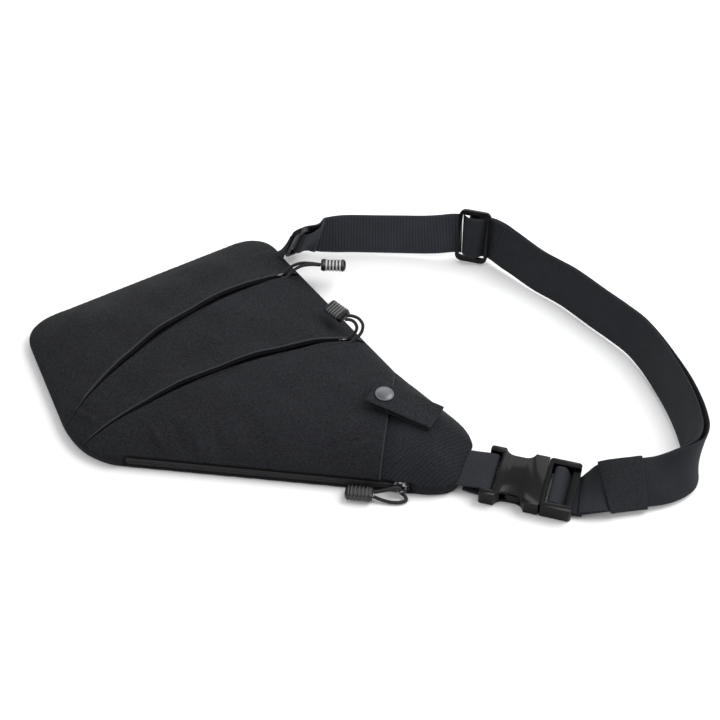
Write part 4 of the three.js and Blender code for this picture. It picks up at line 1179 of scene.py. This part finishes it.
def makeStrap():
    # the strap's layers; the two long ones are on no body and have their transforms baked in place
    layer = webbing["layer"]
    single = [(23, 1.4), (14, 2.9), (8.5, 3.9), (3.4, 3.7), (1.7, 1.6), (1.7, -1.6), (3.4, -3.7), (8.5, -3.9),
              (16, -2.2), (30, 0), (60, 0), (100, 0)]
    single += fromGlide([(-32, 0), (-17, -2.7), (-11.8, -2.75), (-10.9, -2.7)])
    outer = fromGlide([(-9.7, -1.9), (-5.8, 2.8), (-3.8, 4.35), (3.8, 4.35), (5.8, 2.8), (9.9, -2.1),
                       (11.8, -2.75), (17, -2.7), (34, layer), (70, layer), (140, layer), (210, layer)])
    outer += [(bendAt, layer), (strapLong - 60, layer), (strapLong - 16, 1.2), (strapLong - 0.4, 0.9)]
    sewn = fromGlide([(23, -3.1), (17, -4.4), (11.6, -4.5), (8.6, -3.3), (4.5, 1.8), (2.6, 2.7), (-2.4, 2.75),
                      (-4.1, 1.7), (-4.1, -1.7), (-2.4, -2.75), (3, -3), (8, -5.1), (11.6, -6.2), (17, -6.1),
                      (26, -4.6), (31.2, -3.3)])
    inner = [(glideAt + 31, -3.2), (glideAt + 46, -layer), (glideAt + 120, -layer), (bendAt - 90, -layer),
             (bendAt - 30, -4.2), (bendAt + 15, -4.4), (bendAt + 50, -layer), (strapLong - 40, -1.1),
             (strapLong - 16, -1.2), (strapLong - 0.4, -0.6)]
    piece("strap_single_run", layerMesh("single", single, 1.5), "webbing", "bag", "strap_single")
    for name, waypoints, node in (("strap_outer_run", outer, "strap_outer_layer"),
                                  ("strap_inner_run", inner, "strap_inner_layer")):
        made = piece(name, layerMesh(name, waypoints, 1.6), "webbingFine", None, node)
        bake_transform(made)
    piece("strap_sewn_fold", layerMesh("sewn", sewn, 1.0), "webbingFine", "tri_glide", "strap_sewn_end")
    sewnStitches()


buckleFrame = dict(start=(221.5, -96, 0.6), degrees=-9.0, plug=47.3)


def inBuckle(points):
    # (along, across, height) of the buckle to the bag's frame
    turn = math.radians(buckleFrame["degrees"])
    along = np.array([math.cos(turn), math.sin(turn), 0])
    side = np.array([-along[1], along[0], 0])
    points = np.asarray(points, float)
    return np.array(buckleFrame["start"]) + points @ np.stack([along, side, up]), side


def makeShortWebbing():
    # the folds through both halves of the buckle, and the strip that narrows into the corner ring
    tip = [(-24, 6.8), (-14, 7.6), (-5, 8.7), (2.6, 9.6), (6.6, 9.1), (8, 7.2), (8, 4), (6.8, 1.8),
           (2.6, 1.2), (-5, 1.6), (-14, 2.8)]
    turn = [(33, 1.6), (27.9, 1.1), (16, 1.1), (9, 2), (6.2, 4.2), (5.9, 8.4), (7.6, 10.5), (12, 10.7),
            (14.9, 8.6), (16.4, 5.6), (18.6, 3.3), (22.5, 3), (27.9, 2.8), (33, 3.4)]
    rows = (("tip_loop", tip, 0, "bag", "tip_webbing"),
            ("plug_turn", turn, buckleFrame["plug"], "buckle_plug", "strap_turn"))
    for name, line, start, body, node in rows:
        line = evenly(smoothLine([(u + start, 0, z) for u, z in line], 90), 90)
        middles, side = inBuckle(line)
        mesh = ribbonMesh(name, middles, np.tile(side, (len(middles), 1)))
        piece(name, mesh, "webbingFine", body, node)
    middles = [(14, 140, 5.6), (18, 138.6, 8.5), (22, 137.4, 14.5), (25.5, 136.4, 20.5), (28.4, 136, 24.4)]
    across = [(0.6, -0.8, 0), (0.56, -0.76, 0.3), (0.46, -0.6, 0.65), (0.36, -0.44, 0.82),
              (0.29, -0.36, 0.887)]
    spread = 0.5 + 0.5 * np.linspace(0, 1, 30)
    mesh = ribbonMesh("corner", smoothLine(middles, 30), smoothLine(across, 30), spread=spread)
    piece("corner_loop", mesh, "webbing", "bag", "corner_webbing")


# The keeper's rings: how far each stands off the strap, its place along it, and its distance on the band.
keeperRings = [
    (1.2, -15.4, 0), (1.75, -15.6, 0), (1.95, -14.6, 1), (1.85, -9, 6), (1.9, 0, 15), (1.85, 9, 24),
    (1.95, 14.6, 29), (1.75, 15.6, 30), (1.2, 15.4, 30), (1.15, 9, 24), (1.15, -9, 6),
]


def makeKeeper():
    # a knitted band round both layers: an outer and an inner loop joined at both ends
    rings = []
    turn = np.linspace(0, 2 * math.pi, 72, endpoint=False)
    for grow, along, _ in keeperRings:
        place = np.array([keeperAt + along])
        middles, across = strapAt(place, [0.0])
        halfHigh = webbing["layer"] + webbing["thick"] / 2 + grow
        side, rise = roundedBlock(turn, 0.3, webbing["width"] / 2 + grow, halfHigh)
        rings.append(middles[0] + side[:, None] * across[0] + rise[:, None] * outAt(place)[0])
    grid = np.stack(rings)
    readings = np.array([distance for _, _, distance in keeperRings])[:, None]
    cloth = clothReadings(grid.shape, readings, np.cos(turn) * 14)
    mesh = gridMesh("keeper", grid, wrapU=True, wrapV=True, cloth=cloth)
    piece("keeper_loop", mesh, "elastic", "keeper", "keeper_band")


makeStrap()
makeShortWebbing()
makeKeeper()
print("webbing ready")

# Snap tab.
tabShape = dict(cap=(136, -46, 28.4), angle=-20.0, slope=-3.2, width=26.0, thick=1.1)


def inTab(points):
    # (along, across, height) of the snap tab to the bag's frame
    turn, slope = math.radians(tabShape["angle"]), math.radians(tabShape["slope"])
    along = np.array([math.cos(turn) * math.cos(slope), math.sin(turn) * math.cos(slope), math.sin(slope)])
    side = np.array([-math.sin(turn), math.cos(turn), 0])
    basis = np.stack([along, side, np.cross(along, side)])
    return np.array(tabShape["cap"], float) + np.asarray(points, float) @ basis, side


def turnedMesh(name, profile, sides=48):
    # a profile of (radius, height) pairs turned about the tab's own upright
    profile = np.array(profile, float)
    turn = np.linspace(0, 2 * math.pi, sides, endpoint=False)
    radius = np.maximum(profile[:, :1], 0.01)
    grid = np.stack([radius * np.cos(turn), radius * np.sin(turn), np.repeat(profile[:, 1:], sides, 1)], 2)
    points, _ = inTab(grid.reshape(-1, 3))
    return gridMesh(name, points.reshape(grid.shape), wrapV=True, capped=True)


def makeSnapTab():
    # two strips, and the cap and stud turned from their profiles; post and socket keep their own shapes
    base = [(-7, 0.55), (6, 0.55), (20, 0.55), (40, 0.55), (43.6, 0.6), (45.4, 0.9), (46.2, 1.5), (46, 2.2)]
    flap = [(-11, 4.4), (-2, 4.4), (9, 4.4), (24, 3.9), (38, 3.35), (45, 3.2), (46.9, 2.9)]
    for name, line, body, node in (("tab_base", base, "bag", "snap_tab_base"),
                                   ("tab_flap", flap, "snap_flap", "snap_tab_flap")):
        line = evenly(smoothLine([(u, 0, z) for u, z in line], 200), 70)
        middles, side = inTab(line)
        sides = np.tile(side, (len(middles), 1))
        mesh = ribbonMesh(name, middles, sides, tabShape["width"], tabShape["thick"])
        piece(name, mesh, "tab", body, node)
    cap = [(0, 3.8), (2, 3.85), (2, 5.2), (6.9, 5.15), (7.5, 5.3), (7.7, 5.6), (7.65, 5.95), (7.3, 6.2),
           (6.9, 6.2), (6.5, 6.15), (6.1, 6.3), (4.5, 6.75), (2.5, 6.95), (0, 7.0)]
    piece("cap_shell", turnedMesh("cap", cap), "cap", "snap_flap", "snap_cap")
    stud = [(0, 1.4), (5.2, 1.4), (5.2, 1.9), (2.5, 2.1), (2.9, 2.8), (2.8, 3.1), (2.3, 3.5), (0, 3.5)]
    piece("stud_shell", turnedMesh("stud", stud), "brass", "bag", "snap_stud")
    for node, body in (("snap_post", "bag"), ("snap_socket", "snap_flap")):
        softened(node, "brass", body, 0.15)


makeSnapTab()
print("snap tab ready")

# Hardware.
for node, body, bevel in (("buckle_female", "bag", 1.0), ("buckle_male", "buckle_plug", 0.9),
                          ("buckle_prong_left", "prong_left", 0.8),
                          ("buckle_prong_right", "prong_right", 0.8),
                          ("tri_glide", "tri_glide", 0.9), ("corner_ring", "corner_ring", 1.1)):
    softened(node, "plastic", body, bevel)
for node, name in (("back_foam", "foam"), ("main_pocket_lining", "lining"), ("upper_pocket_lining", "lining"),
                   ("middle_pocket_lining", "lining")):
    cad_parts[node].data.materials.clear()
    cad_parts[node].data.materials.append(finish[name])
print("hardware ready")


# Table top.
tableShape = dict(half=3.5, drop=0.0003)


def makeTable():
    # a broad pale square just under the bag, with a very slow drift of tone
    paint = Paint("table", roughness=0.7)
    shade = paint.noise(400 * mm, 2.0)
    paint.colour(paint.mixColour(shade, tint(0.86, 0.86, 0.865), tint(0.89, 0.89, 0.89)))
    half, low = tableShape["half"], -tableShape["drop"]
    corners = [(-half, -half, low), (half, -half, low), (half, half, low), (-half, half, low)]
    mesh = bpy.data.meshes.new("table")
    mesh.from_pydata(corners, [], [(0, 1, 2, 3)])
    thing = bpy.data.objects.new("table", mesh)
    mesh.materials.append(paint.material)
    bpy.context.collection.objects.link(thing)


makeTable()
